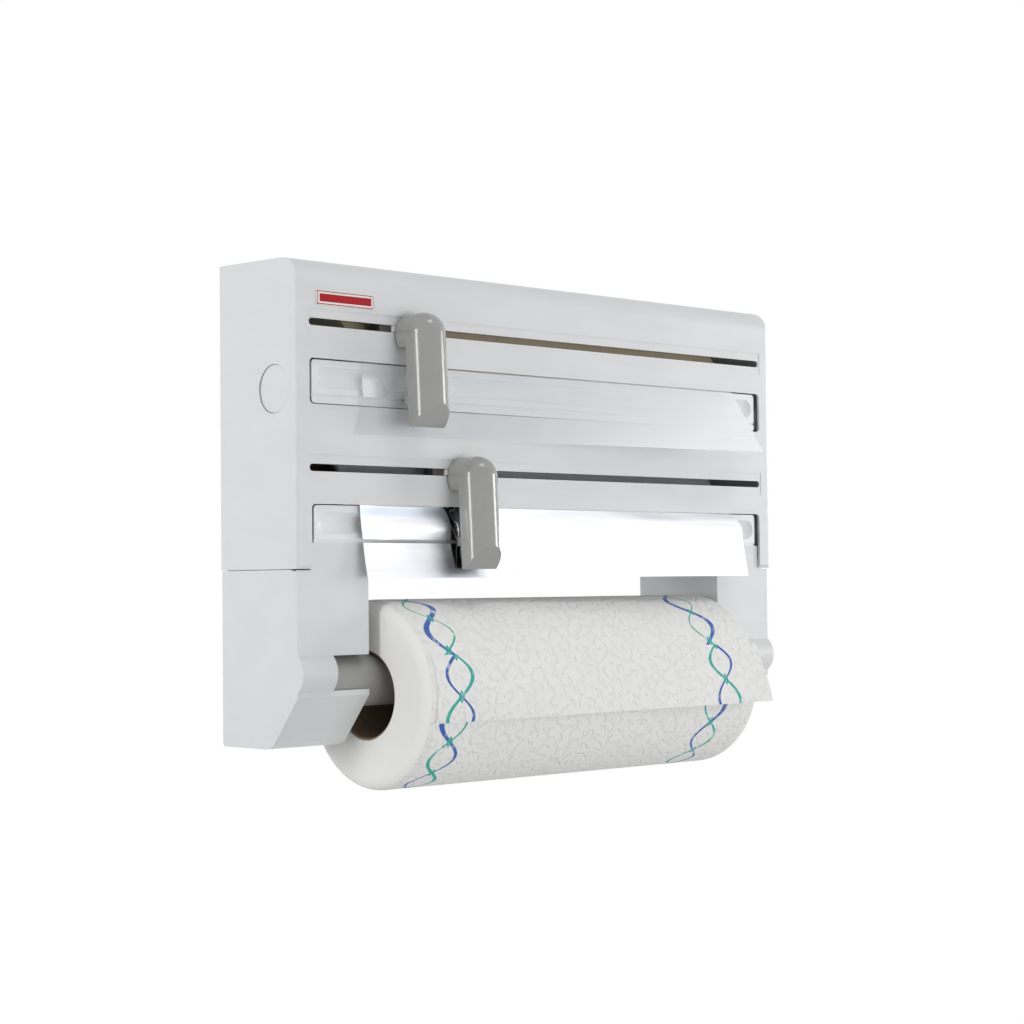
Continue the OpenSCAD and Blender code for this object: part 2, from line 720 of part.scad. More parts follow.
// A sheet that hangs out of a window from x0 and is cut from its left edge as far as the blade at cut_x.
// Over its width u and height v, out(u, v) is how far it stands in front and aside(u, v) how far it flares.
module hanging_sheet(x0, top_z, cut_z, low_z, cut_x, out, aside) {
    columns = 30;
    above = 4;
    below = 6;
    rows = sheet_rows(top_z, cut_z, low_z, above, below);
    cut_columns = ceil((cut_x + blade_w / 2 + eps - x0) / roll_len * columns);
    sheet(columns, above + below + 1, sheet_t,
        function(i, j) let (u = i / columns, v = (top_z - rows[j]) / (top_z - low_z))
            [x0 + roll_len * u - aside(u, v), front_y - out(u, v), rows[j]],
        function(i, j) j != above || i >= cut_columns);
}

// The free end of the cling film, leaning forward more and more towards the right
module film_sheet() color([0.9, 0.95, 1, 0.4]) hanging_sheet(
    film_x0, upper_window_z - sheet_gap, upper_groove_z, upper_window_z - film_hang, upper_cutter_x,
    function(u, v) sheet_step * min(1, 2 * v) - sheet_in + film_lean * pow(u, 1.6) * v,
    function(u, v) film_flare * pow(1 - u, 4) * max(0, 2 * v - 1));

// The free end of the foil, puffed out where it has been cut and at its right end, and leaning out below
module foil_sheet() color([0.88, 0.89, 0.9]) hanging_sheet(
    foil_x0, lower_window_z - sheet_gap, lower_groove_z, lower_window_z - foil_hang, lower_cutter_x,
    function(u, v) sheet_step * min(1, 2 * v) - sheet_in + foil_lean * max(0, 2 * v - 1)
        + foil_bulge * u * u * sin(90 * min(1, 4 * v)) + stub_puff * max(0, 1 - 4 * u) * max(0, sin(360 * v)),
    function(u, v) 0);

// The grip of a handle with its bend at the origin: a rounded front with a flat behind it, cut off below
module grip() {
    grip_len = handle_drop - handle_bend;
    far = 2 * handle_r;
    difference() {
        intersection() {
            union() {
                rod_z(-grip_len, 0, 0, 0, handle_r);
                sphere(handle_r);
                bar(-handle_r, handle_r, 0, handle_flat, -grip_len, 0);
                rod_y(0, handle_flat, 0, 0, handle_r);
            }
            bar(-far, far, -far, handle_flat, -grip_len, far);
        }
        along_x(-far, far) polygon([
            [0, -grip_len], [-far, far * tan(handle_cut) - grip_len],
            [-far, -grip_len - eps], [0, -grip_len - eps]
        ]);
    }
}

// A cutter handle: the grip leans out a little below its bend, and its neck goes back into the slot
module handle(x, slot_z, groove_z) {
    mid_y = front_y - handle_gap - handle_flat;
    bend_z = slot_z - handle_bend;
    root_r = 6;
    rib_gap = 3;
    rib_side = 2;
    rib_h = 5;
    hole_deep = 2;
    difference() {
        union() {
            translate([x, mid_y, bend_z]) rotate([-handle_lean, 0, 0]) grip();
            along_y(mid_y, front_y - badge_t - run_gap) intersection() {
                translate([x, bend_z]) circle(handle_r);
                translate([x - handle_r, slot_z - neck_low]) square(2 * handle_r);
            }
            rod_y(mid_y, front_y, x, slot_z, root_r);
            bar(x - blade_w / 2 - rib_side, x + blade_w / 2 + rib_side,
                mid_y - handle_r / 2, front_y - rib_gap, groove_z - rib_h / 2, groove_z + rib_h / 2);
        }
        bar(x - blade_w / 2 - pin_clear, x + blade_w / 2 + pin_clear, blade_root_y - pin_clear, front_y,
            groove_z - blade_t / 2 - pin_clear, groove_z + blade_t / 2 + pin_clear);
        rod_y(mid_y - hole_deep, front_y, x, slot_z, screw_r - thread_bite);
    }
}

// A guide: a tongue that fills the slot on both sides of a neck, with a notch across it near each end
module guide(x, slot_z) {
    tongue = slot_h / 2 - run_gap;
    relief_in = 4;
    relief_x = guide_reach - relief_in;
    relief_w = 1.3;
    relief_d = 1;
    difference() {
        bar(x - guide_reach, x + guide_reach, front_y, cover_in_y + run_gap,
            slot_z - tongue, slot_z + tongue);
        for (s = [-1, 1]) translate([x + s * relief_x, 0, slot_z])
            bar(-relief_w / 2, relief_w / 2, front_y - eps, front_y + relief_d, -slot_h / 2, slot_h / 2);
        rod_y(front_y - eps, cover_in_y + eps, x, slot_z, screw_r - thread_bite);
    }
}

// A carriage that runs behind a slot
module carriage(x, slot_z) difference() {
    bar(x - carriage_reach, x + carriage_reach, cover_in_y + run_gap, cover_in_y + carriage_d,
        slot_z - carriage_h / 2, slot_z + carriage_h / 2);
    rod_y(cover_in_y, cover_in_y + carriage_d + eps, x, slot_z, screw_r - thread_bite);
}

// A flat blade with a slanting tip that runs in the cutting groove
module blade(x, groove_z) {
    tip_back = 4;
    tip_side = 3;
    tip_y = tray_y + blade_reach;
    along_z(groove_z - blade_t / 2, groove_z + blade_t / 2) polygon([
        [x - blade_w / 2, blade_root_y], [x + blade_w / 2, blade_root_y], [x + blade_w / 2, tip_y - tip_back],
        [x + blade_w / 2 - tip_side, tip_y], [x - blade_w / 2, tip_y]
    ]);
}

// The screw that draws a handle against its carriage
module cutter_screw(x, slot_z) {
    rod_y(cover_in_y + carriage_d, cover_in_y + carriage_d + screw_head_t, x, slot_z, screw_head_r);
    rod_y(front_y - handle_gap - handle_flat, cover_in_y + carriage_d + sheet_gap, x, slot_z,
        screw_r - thread_bite - pin_clear);
}

module upper_handle() color(grey) handle(upper_cutter_x, upper_slot_z, upper_groove_z);
module lower_handle() color(grey) handle(lower_cutter_x, lower_slot_z, lower_groove_z);
module upper_guide() color(white) guide(upper_cutter_x, upper_slot_z);
module lower_guide() color(white) guide(lower_cutter_x, lower_slot_z);
module upper_carriage() color(white) carriage(upper_cutter_x, upper_slot_z);
module lower_carriage() color(white) carriage(lower_cutter_x, lower_slot_z);
module upper_blade() color(steel) blade(upper_cutter_x, upper_groove_z);
module lower_blade() color(steel) blade(lower_cutter_x, lower_groove_z);
module upper_screw() color(steel) cutter_screw(upper_cutter_x, upper_slot_z);
module lower_screw() color(steel) cutter_screw(lower_cutter_x, lower_slot_z);

// The left release button: a disc in the side of the cover, tilted so that its rear edge dips a little
module button() {
    tilt = asin(button_dip / (2 * button_r));
    face_x = -half_w + button_dip / 2;
    translate([face_x, button_y - button_gap + pin_clear, button_z]) rotate([0, 0, -tilt]) rotate([0, 90, 0])
        cylinder(h = button_t, r = button_r);
    rod_x(-rim_x, -rim_x + rim_t, button_y, button_z, rim_r);
    rod_x(-rim_x, -cup_floor_x + cup_t / 2, button_y, button_z, stem_r);
}

// The cup behind a button, which guides its stem and carries its spring
module button_cup() difference() {
    rod_x(-side_in, -cup_end_x, button_y, button_z, cup_r);
    rod_x(-side_in - eps, -cup_floor_x, button_y, button_z, cup_in_r);
    rod_x(-side_in, -cup_end_x + eps, button_y, button_z, stem_r + pin_clear);
}

module button_spring() coil(
    -rim_x + rim_t + spring_wire_r + coil_gap, -cup_floor_x - spring_wire_r - coil_gap,
    button_y, button_z, button_r - spring_in, spring_wire_r, 2);

module left_button() color(white) button();
module right_button() color(white) mirror([1, 0, 0]) button();
module left_button_cup() color(white) button_cup();
module right_button_cup() color(white) mirror([1, 0, 0]) button_cup();
module left_button_spring() color(steel) button_spring();
module right_button_spring() color(steel) mirror([1, 0, 0]) button_spring();

// The outer half of the axle, with its pivot in the left bracket
module axle_sleeve() color(grey) difference() {
    union() {
        rod_x(-axle_end, sleeve_end_x, -axle_y, axle_z, axle_r);
        rod_x(-axle_end - pivot_len, -axle_end, -axle_y, axle_z, pivot_r);
    }
    rod_x(-axle_end + sleeve_cap, sleeve_end_x + eps, -axle_y, axle_z, sleeve_bore);
}

// The sprung inner half of the axle, with its pivot in the right bracket
module axle_plunger() color(grey) difference() {
    union() {
        rod_x(plunger_x, axle_end, -axle_y, axle_z, plunger_r);
        rod_x(axle_end - flange_w, axle_end, -axle_y, axle_z, axle_r);
        rod_x(axle_end, axle_end + pivot_len, -axle_y, axle_z, pivot_r);
    }
    rod_x(plunger_x - eps, axle_end - flange_w, -axle_y, axle_z, plunger_bore);
}

// The long spring inside the sleeve that pushes the two halves apart
module axle_spring() color(steel) coil(-axle_end + sleeve_cap + axle_wire_r + 2 * coil_gap,
    plunger_x - axle_wire_r - 2 * coil_gap, -axle_y, axle_z, (plunger_r + plunger_bore) / 2, axle_wire_r, 20);

// The kitchen roll hangs on the axle by its core
module paper_core() color(brown) difference() {
    x0 = paper_x0 + paper_core_in;
    x1 = paper_x0 + paper_len - paper_core_in;
    rod_x(x0, x1, paper_y, paper_z, paper_core_r + paper_core_t);
    rod_x(x0 - eps, x1 + eps, paper_y, paper_z, paper_core_r);
}

module paper_roll() color([0.93, 0.93, 0.92]) difference() {
    rod_x(paper_x0, paper_x0 + paper_len, paper_y, paper_z, paper_r);
    rod_x(paper_x0 - eps, paper_x0 + paper_len + eps, paper_y, paper_z,
        paper_core_r + paper_core_t + pin_clear);
}

// The loose end of the kitchen paper, which stands off more towards the right
module paper_flap() color([0.93, 0.93, 0.92]) {
    columns = 24;
    rows = 8;
    start = -25;
    left_end = 15.5;
    right_end = 12;
    sheet(columns, rows, sheet_t,
        function(i, j) let (
            u = i / columns,
            s = j / rows,
            turn = start + s * (left_end + (right_end - left_end) * u - start),
            r = paper_r + 2 * sheet_t + (flap_stand + flap_lean * u) * s * s
        ) [paper_x0 + flap_in + (paper_len - flap_in) * u, paper_y - r * cos(turn), paper_z - r * sin(turn)],
        function(i, j) true);
}

// Cardboard core and wound layer of the film and foil rolls
module tube_core(x, y, z, r) color(brown) difference() {
    rod_x(x, x + roll_len, -y, z, r);
    rod_x(x - eps, x + roll_len + eps, -y, z, r - tube_t);
}

module winding(x, y, z, r, core_r) difference() {
    rod_x(x, x + roll_len, -y, z, r);
    rod_x(x - eps, x + roll_len + eps, -y, z, core_r + pin_clear);
}

module film_core() tube_core(film_x0, film_y, film_z, film_core_r);
module film_roll() color([0.85, 0.88, 0.85]) winding(film_x0, film_y, film_z, film_r, film_core_r);
module foil_core() tube_core(foil_x0, foil_y, foil_z, foil_core_r);
module foil_roll() color([0.8, 0.81, 0.82]) winding(foil_x0, foil_y, foil_z, foil_r, foil_core_r);

// Heights from the bracket bottoms become heights from the middle of the screw holes
module placed() translate([0, 0, -mount_z]) children();

placed() back_panel();
placed() left_bracket();
placed() right_bracket();
placed() left_cheek();
placed() right_cheek();
placed() floor_shelf();
placed() upper_tray();
placed() lower_tray();
placed() film_cradle();
placed() foil_cradle();
placed() hinge_pins();
placed() frame_screws();
placed() front_cover();
placed() badge_plate();
placed() film_sheet();
placed() foil_sheet();
placed() upper_handle();
placed() upper_guide();
placed() upper_carriage();
placed() upper_blade();
placed() upper_screw();
placed() lower_handle();
placed() lower_guide();
placed() lower_carriage();
placed() lower_blade();
placed() lower_screw();
placed() left_button();
placed() left_button_cup();
placed() left_button_spring();
placed() right_button();
placed() right_button_cup();
placed() right_button_spring();
placed() axle_sleeve();
placed() axle_plunger();
placed() axle_spring();
placed() paper_core();
placed() paper_roll();
placed() paper_flap();
placed() film_core();
placed() film_roll();
placed() foil_core();
placed() foil_roll();
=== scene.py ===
"""Dresses the wall-mounted roll holder: finishes, soft edges, film, foil, kitchen paper, light and camera."""

import json
import logging
import math
from dataclasses import dataclass
from enum import Enum
from typing import Any, Callable, Optional, Sequence, Union

import bpy
from mathutils import Matrix, Vector


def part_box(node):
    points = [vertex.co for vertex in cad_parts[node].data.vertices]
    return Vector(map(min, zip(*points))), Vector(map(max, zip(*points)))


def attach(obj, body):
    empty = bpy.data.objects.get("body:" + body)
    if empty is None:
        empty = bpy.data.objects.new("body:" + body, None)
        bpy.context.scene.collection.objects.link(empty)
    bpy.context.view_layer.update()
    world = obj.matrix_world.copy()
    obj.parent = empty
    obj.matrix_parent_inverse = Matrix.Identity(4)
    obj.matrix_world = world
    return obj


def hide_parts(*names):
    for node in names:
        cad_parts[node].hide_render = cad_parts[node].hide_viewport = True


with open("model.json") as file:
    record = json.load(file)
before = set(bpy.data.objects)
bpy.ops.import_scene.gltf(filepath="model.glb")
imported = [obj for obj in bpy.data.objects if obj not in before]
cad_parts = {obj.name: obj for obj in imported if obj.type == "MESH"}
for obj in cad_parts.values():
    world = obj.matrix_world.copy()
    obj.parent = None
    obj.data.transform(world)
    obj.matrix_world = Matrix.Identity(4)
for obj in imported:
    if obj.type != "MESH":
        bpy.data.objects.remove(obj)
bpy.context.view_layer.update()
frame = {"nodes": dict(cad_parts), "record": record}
MM = 0.001
LOG = logging.getLogger("roll_holder")

Colour = tuple[float, float, float]
Number = Union[int, float]
WHITE = (1.0, 1.0, 1.0, 1.0)


def shaded(colour: Colour, share: float) -> Colour:
    """A colour with that share of its light."""
    return tuple(channel * share for channel in colour)


class Part(Enum):
    """The record's material slots."""

    WHITE = "white_plastic"
    GREY = "grey_plastic"
    STEEL = "steel"
    BOARD = "cardboard"
    PAPER = "kitchen_paper"
    FILM = "cling_film"
    FOIL = "foil"
    BADGE = "badge"


class Value:
    """A shader socket that takes part in Python expressions."""

    def __init__(self, graph: "NodeGraph", socket: bpy.types.NodeSocket) -> None:
        """Wraps one output socket of a graph."""
        self.graph = graph
        self.socket = socket

    def _math(self, operation: str, first: Any, second: Any = None) -> "Value":
        """Adds a Math node.

        Args:
            operation: the Math node's operation.
            first: its first value.
            second: its second value, if it has one.

        Returns:
            The node's result.
        """
        inputs = {0: first} if second is None else {0: first, 1: second}
        return self.graph.node("ShaderNodeMath", {"operation": operation}, inputs)["Value"]

    def __add__(self, other: Any) -> "Value":
        """Sum."""
        return self._math("ADD", self, other)

    __radd__ = __add__

    def __sub__(self, other: Any) -> "Value":
        """Difference."""
        return self._math("SUBTRACT", self, other)

    def __rsub__(self, other: Any) -> "Value":
        """Difference, the other way round."""
        return self._math("SUBTRACT", other, self)

    def __mul__(self, other: Any) -> "Value":
        """Product."""
        return self._math("MULTIPLY", self, other)

    __rmul__ = __mul__

    def __truediv__(self, other: Any) -> "Value":
        """Quotient."""
        return self._math("DIVIDE", self, other)

    def __rtruediv__(self, other: Any) -> "Value":
        """Quotient, the other way round."""
        return self._math("DIVIDE", other, self)

    def __gt__(self, other: Any) -> "Value":
        """One where this is greater, and nought elsewhere."""
        return self._math("GREATER_THAN", self, other)

    def __lt__(self, other: Any) -> "Value":
        """One where this is less, and nought elsewhere."""
        return self._math("LESS_THAN", self, other)

    def __abs__(self) -> "Value":
        """Size without sign."""
        return self._math("ABSOLUTE", self)

    def power(self, exponent: Number) -> "Value":
        """This to an exponent."""
        return self._math("POWER", self, exponent)

    def sine(self) -> "Value":
        """Sine of this, in radians."""
        return self._math("SINE", self)

    def wrapped(self, period: Number) -> "Value":
        """Distance to the middle of the repeat that this lies in, from minus to plus half a period."""
        return self._math("WRAP", self, period / 2)._with(2, -period / 2)

    def _with(self, index: int, value: Number) -> "Value":
        """Sets one more input of the node behind this value."""
        self.socket.node.inputs[index].default_value = value
        return self

    def at_least(self, other: Any) -> "Value":
        """The greater of two."""
        return self._math("MAXIMUM", self, other)

    def at_most(self, other: Any) -> "Value":
        """The lesser of two."""
        return self._math("MINIMUM", self, other)

    def ramp(self, low: Number, high: Number) -> "Value":
        """Nought below low, one above high, and smooth between.

        Args:
            low: where it starts to rise.
            high: where it is one.

        Returns:
            The share.
        """
        settings = {"interpolation_type": "SMOOTHSTEP"}
        inputs = {"Value": self, "From Min": low, "From Max": high}
        return self.graph.node("ShaderNodeMapRange", settings, inputs)["Result"]


class Sockets:
    """The outputs of a node, by name, as values."""

    def __init__(self, graph: "NodeGraph", node: bpy.types.Node) -> None:
        """Keeps the node and its graph."""
        self.graph = graph
        self.node = node

    def __getitem__(self, name: str) -> Value:
        """The output of that name."""
        outputs = [s for s in self.node.outputs if s.name == name and s.enabled]
        return Value(self.graph, outputs[0])


class NodeGraph:
    """A node tree under construction."""

    def __init__(self, tree: bpy.types.NodeTree) -> None:
        """Keeps the tree and empties it."""
        self.tree = tree
        self.tree.nodes.clear()

    def node(
        self,
        kind: str,
        settings: Optional[dict[str, Any]] = None,
        inputs: Optional[dict[Union[str, int], Any]] = None,
    ) -> Sockets:
        """Adds any node.

        Args:
            kind: the node's type.
            settings: its properties, which are set first.
            inputs: values or links of its sockets, by name or place.

        Returns:
            The node's outputs.
        """
        node = self.tree.nodes.new(kind)
        for key, value in (settings or {}).items():
            setattr(node, key, value)
        for key, value in (inputs or {}).items():
            socket = node.inputs[key] if isinstance(key, int) else self._input(node, key)
            if isinstance(value, Value):
                self.tree.links.new(value.socket, socket)
            else:
                socket.default_value = value
        return Sockets(self, node)

    @staticmethod
    def _input(node: bpy.types.Node, name: str) -> bpy.types.NodeSocket:
        """The enabled input of that name."""
        return [s for s in node.inputs if s.name == name and s.enabled][0]

    def place(self) -> Value:
        """Object coordinates, in metres."""
        return self.node("ShaderNodeTexCoord")["Object"]

    def unrolled(self) -> Value:
        """The piece's own UV map."""
        return self.node("ShaderNodeTexCoord")["UV"]

    def split(self, vector: Value) -> tuple[Value, Value, Value]:
        """The three parts of a vector."""
        parts = self.node("ShaderNodeSeparateXYZ", None, {"Vector": vector})
        return parts["X"], parts["Y"], parts["Z"]

    def noise(self, vector: Value, scale: Number, detail: Number = 2.0, roughness: Number = 0.5) -> Value:
        """Smooth noise, about a half on average."""
        inputs = {"Vector": vector, "Scale": scale, "Detail": detail, "Roughness": roughness}
        return self.node("ShaderNodeTexNoise", None, inputs)["Fac"]

    def stretched(self, vector: Value, scale: Sequence[float]) -> Value:
        """Coordinates with each axis multiplied."""
        return self.node("ShaderNodeMapping", None, {"Vector": vector, "Scale": tuple(scale)})["Vector"]

    def blend(self, factor: Any, first: Any, second: Any) -> Value:
        """A colour between two colours.

        Args:
            factor: nought for the first, one for the second.
            first: a colour or a value.
            second: a colour or a value.

        Returns:
            The mixed colour.
        """
        wide = [c if isinstance(c, Value) else (*c, 1.0) for c in (first, second)]
        inputs = {"Factor": factor, "A": wide[0], "B": wide[1]}
        return self.node("ShaderNodeMix", {"data_type": "RGBA"}, inputs)["Result"]

    def bump(self, height: Value, depth: Number, strength: Number = 1.0) -> Value:
        """A normal from a height.

        Args:
            height: relief, from nought to one.
            depth: what one means, in metres.
            strength: how much of it shows.

        Returns:
            The changed normal.
        """
        inputs = {"Height": height, "Distance": depth, "Strength": strength}
        return self.node("ShaderNodeBump", None, inputs)["Normal"]

    def surface(self, settings: dict[str, Any]) -> Value:
        """A Principled surface with these sockets."""
        return self.node("ShaderNodeBsdfPrincipled", None, settings)["BSDF"]


class ShaderGraph(NodeGraph):
    """A material under construction."""

    def __init__(self, name: str) -> None:
        """Makes an empty material.

        Args:
            name: of the material.
        """
        self.material = bpy.data.materials.new(name)
        self.material.use_nodes = True
        super().__init__(self.material.node_tree)

    def finish(self, shader: Value) -> bpy.types.Material:
        """Ends the material with this shader."""
        self.node("ShaderNodeOutputMaterial", None, {"Surface": shader})
        return self.material


@dataclass(frozen=True)
class MouldedPlastic:
    """Injection-moulded plastic with a fine grain and faint flow marks."""

    name: str
    colour: Colour
    roughness: float
    grain: float = 0.02 * MM
    gloss: float = 0.5
    flow_shade: float = 0.965

    def material(self) -> bpy.types.Material:
        """Builds the material.

        Returns:
            The finished material.
        """
        graph = ShaderGraph(self.name)
        place = graph.place()
        flow = graph.noise(graph.stretched(place, (6, 14, 22)), 3.0, 3.0)
        grain = graph.noise(place, 1800.0, 2.0)
        settings = {
            "Base Color": graph.blend(flow.ramp(0.3, 0.7), shaded(self.colour, self.flow_shade), self.colour),
            "Roughness": self.roughness + (flow - 0.5) * 0.08 + (grain - 0.5) * 0.06,
            "Normal": graph.bump(grain, self.grain),
            "Specular IOR Level": self.gloss,
        }
        return graph.finish(graph.surface(settings))


@dataclass(frozen=True)
class BrushedSteel:
    """Plain steel with fine drawing marks."""

    name: str
    colour: Colour = (0.62, 0.62, 0.64)
    mark_shade: float = 0.8
    mark_depth: float = 0.01 * MM

    def material(self) -> bpy.types.Material:
        """Builds the material.

        Returns:
            The finished material.
        """
        graph = ShaderGraph(self.name)
        marks = graph.noise(graph.stretched(graph.place(), (60, 900, 900)), 4.0, 4.0)
        settings = {
            "Base Color": graph.blend(marks, shaded(self.colour, self.mark_shade), self.colour),
            "Metallic": 1.0,
            "Roughness": 0.22 + marks * 0.2,
            "Normal": graph.bump(marks, self.mark_depth),
        }
        return graph.finish(graph.surface(settings))


@dataclass(frozen=True)
class RolledBoard:
    """Grey-brown cardboard wound from strips."""

    name: str
    colour: Colour = (0.27, 0.19, 0.125)
    pale: Colour = (0.38, 0.29, 0.20)
    strip: float = 55 * MM
    seam: float = 0.7 * MM
    seam_shade: float = 0.6
    relief: float = 0.12 * MM

    def material(self) -> bpy.types.Material:
        """Builds the material.

        Returns:
            The finished material.
        """
        graph = ShaderGraph(self.name)
        place = graph.place()
        across, depth, height = graph.split(place)
        fibre = graph.noise(graph.stretched(place, (90, 400, 400)), 6.0, 5.0, 0.65)
        slant = across + (depth + height) * 0.5
        seam = abs(slant.wrapped(self.strip)).ramp(0.0, self.seam)
        tone = graph.blend(fibre.ramp(0.3, 0.75), self.colour, self.pale)
        settings = {
            "Base Color": graph.blend(seam, shaded(self.colour, self.seam_shade), tone),
            "Roughness": 0.82 + fibre * 0.12,
            "Normal": graph.bump(fibre * 0.5 + seam, self.relief),
        }
        return graph.finish(graph.surface(settings))


@dataclass(frozen=True)
class KitchenPaper:
    """Soft two-ply paper with an embossed pattern, painted shade in its grooves and a printed border near
    both ends.

    The UV map holds the unrolled sheet in metres: U along the roll and V around it.
    """

    name: str
    width: float
    colour: Colour = (0.88, 0.88, 0.865)
    blue: Colour = (0.05, 0.14, 0.48)
    teal: Colour = (0.05, 0.44, 0.38)
    emboss_pitch: float = 7 * MM
    border_in: float = 30.5 * MM
    border_shift: float = 10.5 * MM
    wave: float = 46 * MM
    swing: float = 9 * MM
    strands: tuple[tuple[float, float], ...] = ((0.0, 1.4 * MM), (math.pi, 0.9 * MM))
    diamond: float = 2.5 * MM
    diamond_hole: float = 1.2 * MM
    emboss_depth: float = 0.55 * MM
    emboss_strength: float = 0.75
    painted_groove_shade: float = 0.93

    def material(self) -> bpy.types.Material:
        """Builds the material.

        Returns:
            The finished material.
        """
        graph = ShaderGraph(self.name)
        sheet = graph.unrolled()
        along, around, _ = graph.split(sheet)
        fuzz = graph.noise(sheet, 900.0, 4.0, 0.7)
        cloudy = graph.noise(sheet, 22.0, 3.0)
        wobble = graph.noise(sheet, 160.0, 2.0)
        cells = {"Vector": sheet, "Scale": 1 / self.emboss_pitch, "Randomness": 0.85}
        edges = graph.node("ShaderNodeTexVoronoi", {"feature": "DISTANCE_TO_EDGE"}, cells)["Distance"]
        groove = 1 - edges.ramp(0.02, 0.16)
        broken = groove * graph.noise(sheet, 210.0, 1.0).ramp(0.42, 0.56)
        height = fuzz * 0.16 + cloudy * 0.25 - broken
        # Painted shade in the embossed grooves, plus a random cloudy tone.
        painted_groove_shade_and_cloud = broken * 0.25 + cloudy * 0.3
        tone = graph.blend(painted_groove_shade_and_cloud, self.colour, shaded(self.colour, self.painted_groove_shade))
        settings = {
            "Base Color": self._border(graph, tone, along, around, wobble),
            "Roughness": 0.9,
            "Normal": graph.bump(height, self.emboss_depth, self.emboss_strength),
            "Specular IOR Level": 0.15,
            "Sheen Weight": 0.15,
        }
        return graph.finish(graph.surface(settings))

    def _border(
        self, graph: ShaderGraph, ground: Value, along: Value, around: Value, wobble: Value
    ) -> Value:
        """Prints a border of crossing waves with small diamonds.

        Args:
            graph: the material's graph.
            ground: the paper's own colour.
            along: distance along the roll.
            around: distance around it.
            wobble: noise for an uneven print.

        Returns:
            The colour with the print.
        """
        from_edge = self.width / 2 - self.border_in - abs(along + self.border_shift)
        turn = around * (2 * math.pi / self.wave)
        ink = (wobble.ramp(0.25, 0.5) * 0.7 + 0.3).at_most(1.0)
        strands = []
        for phase, thick in self.strands:
            middle = (turn + phase).sine() * self.swing
            width = (1.2 + (turn * 0.5 + phase).sine() * 0.5) * thick
            strands.append(1 - (abs(from_edge - middle) / width).ramp(0.7, 1.1))
        diamond = abs(around.wrapped(self.wave / 2)) * 0.6 + abs(from_edge)
        dots = 1 - diamond.ramp(self.diamond - 0.5 * MM, self.diamond)
        hollow = diamond.ramp(self.diamond_hole - 0.3 * MM, self.diamond_hole)
        colour = graph.blend(strands[0] * ink, ground, self.blue)
        colour = graph.blend(strands[1] * ink, colour, self.teal)
        return graph.blend(dots * hollow * ink, colour, self.teal)


@dataclass(frozen=True)
class LightenedPaperEnd:
    """The end of a paper roll, where the turns show as fine rings, in a colour lighter than the paper's:
    painted light against the shade on the roll's ends.
    """

    name: str
    axis: tuple[float, float]
    # Lighter than the kitchen paper's own colour: painted light that offsets the shade on the roll's ends.
    colour: Colour = (0.97, 0.965, 0.94)
    pitch: float = 1.1 * MM
    ring_shade: float = 0.93
    relief: float = 0.12 * MM

    def material(self) -> bpy.types.Material:
        """Builds the material.

        Returns:
            The finished material.
        """
        graph = ShaderGraph(self.name)
        place = graph.place()
        _, depth, height = graph.split(place)
        radius = ((depth - self.axis[0]).power(2) + (height - self.axis[1]).power(2)).power(0.5)
        fuzz = graph.noise(place, 700.0, 4.0, 0.7)
        drift = graph.noise(place, 60.0, 2.0) * (2 * self.pitch)
        rings = ((radius + drift) * (2 * math.pi / self.pitch)).sine() * 0.5 + 0.5
        grain = rings * 0.3 + fuzz * 0.5
        settings = {
            "Base Color": graph.blend(grain, shaded(self.colour, self.ring_shade), self.colour),
            "Roughness": 0.95,
            "Normal": graph.bump(grain, self.relief),
            "Specular IOR Level": 0.1,
        }
        return graph.finish(graph.surface(settings))


@dataclass(frozen=True)
class ClingFilm:
    """Clear film, seen by its gloss, its edges and its creases, with a painted sheen that grows towards the
    right and a painted highlight on its stub.
    """

    name: str
    left: float
    cut_z: float
    haze: float = 0.05
    most: float = 0.8
    colour: Colour = (0.985, 0.99, 1.0)
    tint: Colour = (0.955, 0.96, 0.965)
    crease_depth: float = 0.06 * MM
    stub_highlight_width: float = 18 * MM
    stub_highlight_height: float = 13 * MM

    def material(self) -> bpy.types.Material:
        """Builds the material.

        Returns:
            The finished material.
        """
        graph = ShaderGraph(self.name)
        place = graph.place()
        across, _, height = graph.split(place)
        creases = graph.noise(graph.stretched(place, (14, 30, 60)), 3.0, 4.0, 0.6)
        rim = graph.node("ShaderNodeLayerWeight", None, {"Blend": 0.35})["Facing"]
        rise = height - self.cut_z
        # Painted sheen: more of the mirror gloss towards the right, a little less higher up.
        bright = across.ramp(-0.1, 0.17) * (1 - rise.ramp(-25 * MM, 20 * MM) * 0.4)
        # Painted highlight on the stub, in a strip by its left edge just above the cut.
        painted_stub_highlight = 1 - (across - self.left + rise * 0.25).ramp(self.stub_highlight_width - 2 * MM, self.stub_highlight_width)
        painted_stub_highlight = painted_stub_highlight * rise.ramp(0.2 * MM, 0.8 * MM)
        painted_stub_highlight = painted_stub_highlight * (1 - rise.ramp(self.stub_highlight_height - 5 * MM, self.stub_highlight_height))
        # Share of gloss over clear film: haze, rim, painted sheen, painted stub highlight and creases.
        cover = self.haze + rim.power(2.0) * 0.1 + bright * 0.8 + painted_stub_highlight * 0.45
        cover = cover + (creases - 0.5).at_least(0.0) * 0.2
        gloss = graph.surface({
            "Base Color": (*self.colour, 1.0),
            "Metallic": 0.65,
            "Roughness": 0.22,
            "Normal": graph.bump(creases, self.crease_depth),
        })
        clear = graph.node("ShaderNodeBsdfTransparent", None, {"Color": (*self.tint, 1.0)})["BSDF"]
        mixed = graph.node("ShaderNodeMixShader", None, {0: cover.at_most(self.most), 1: clear, 2: gloss})
        return graph.finish(mixed["Shader"])


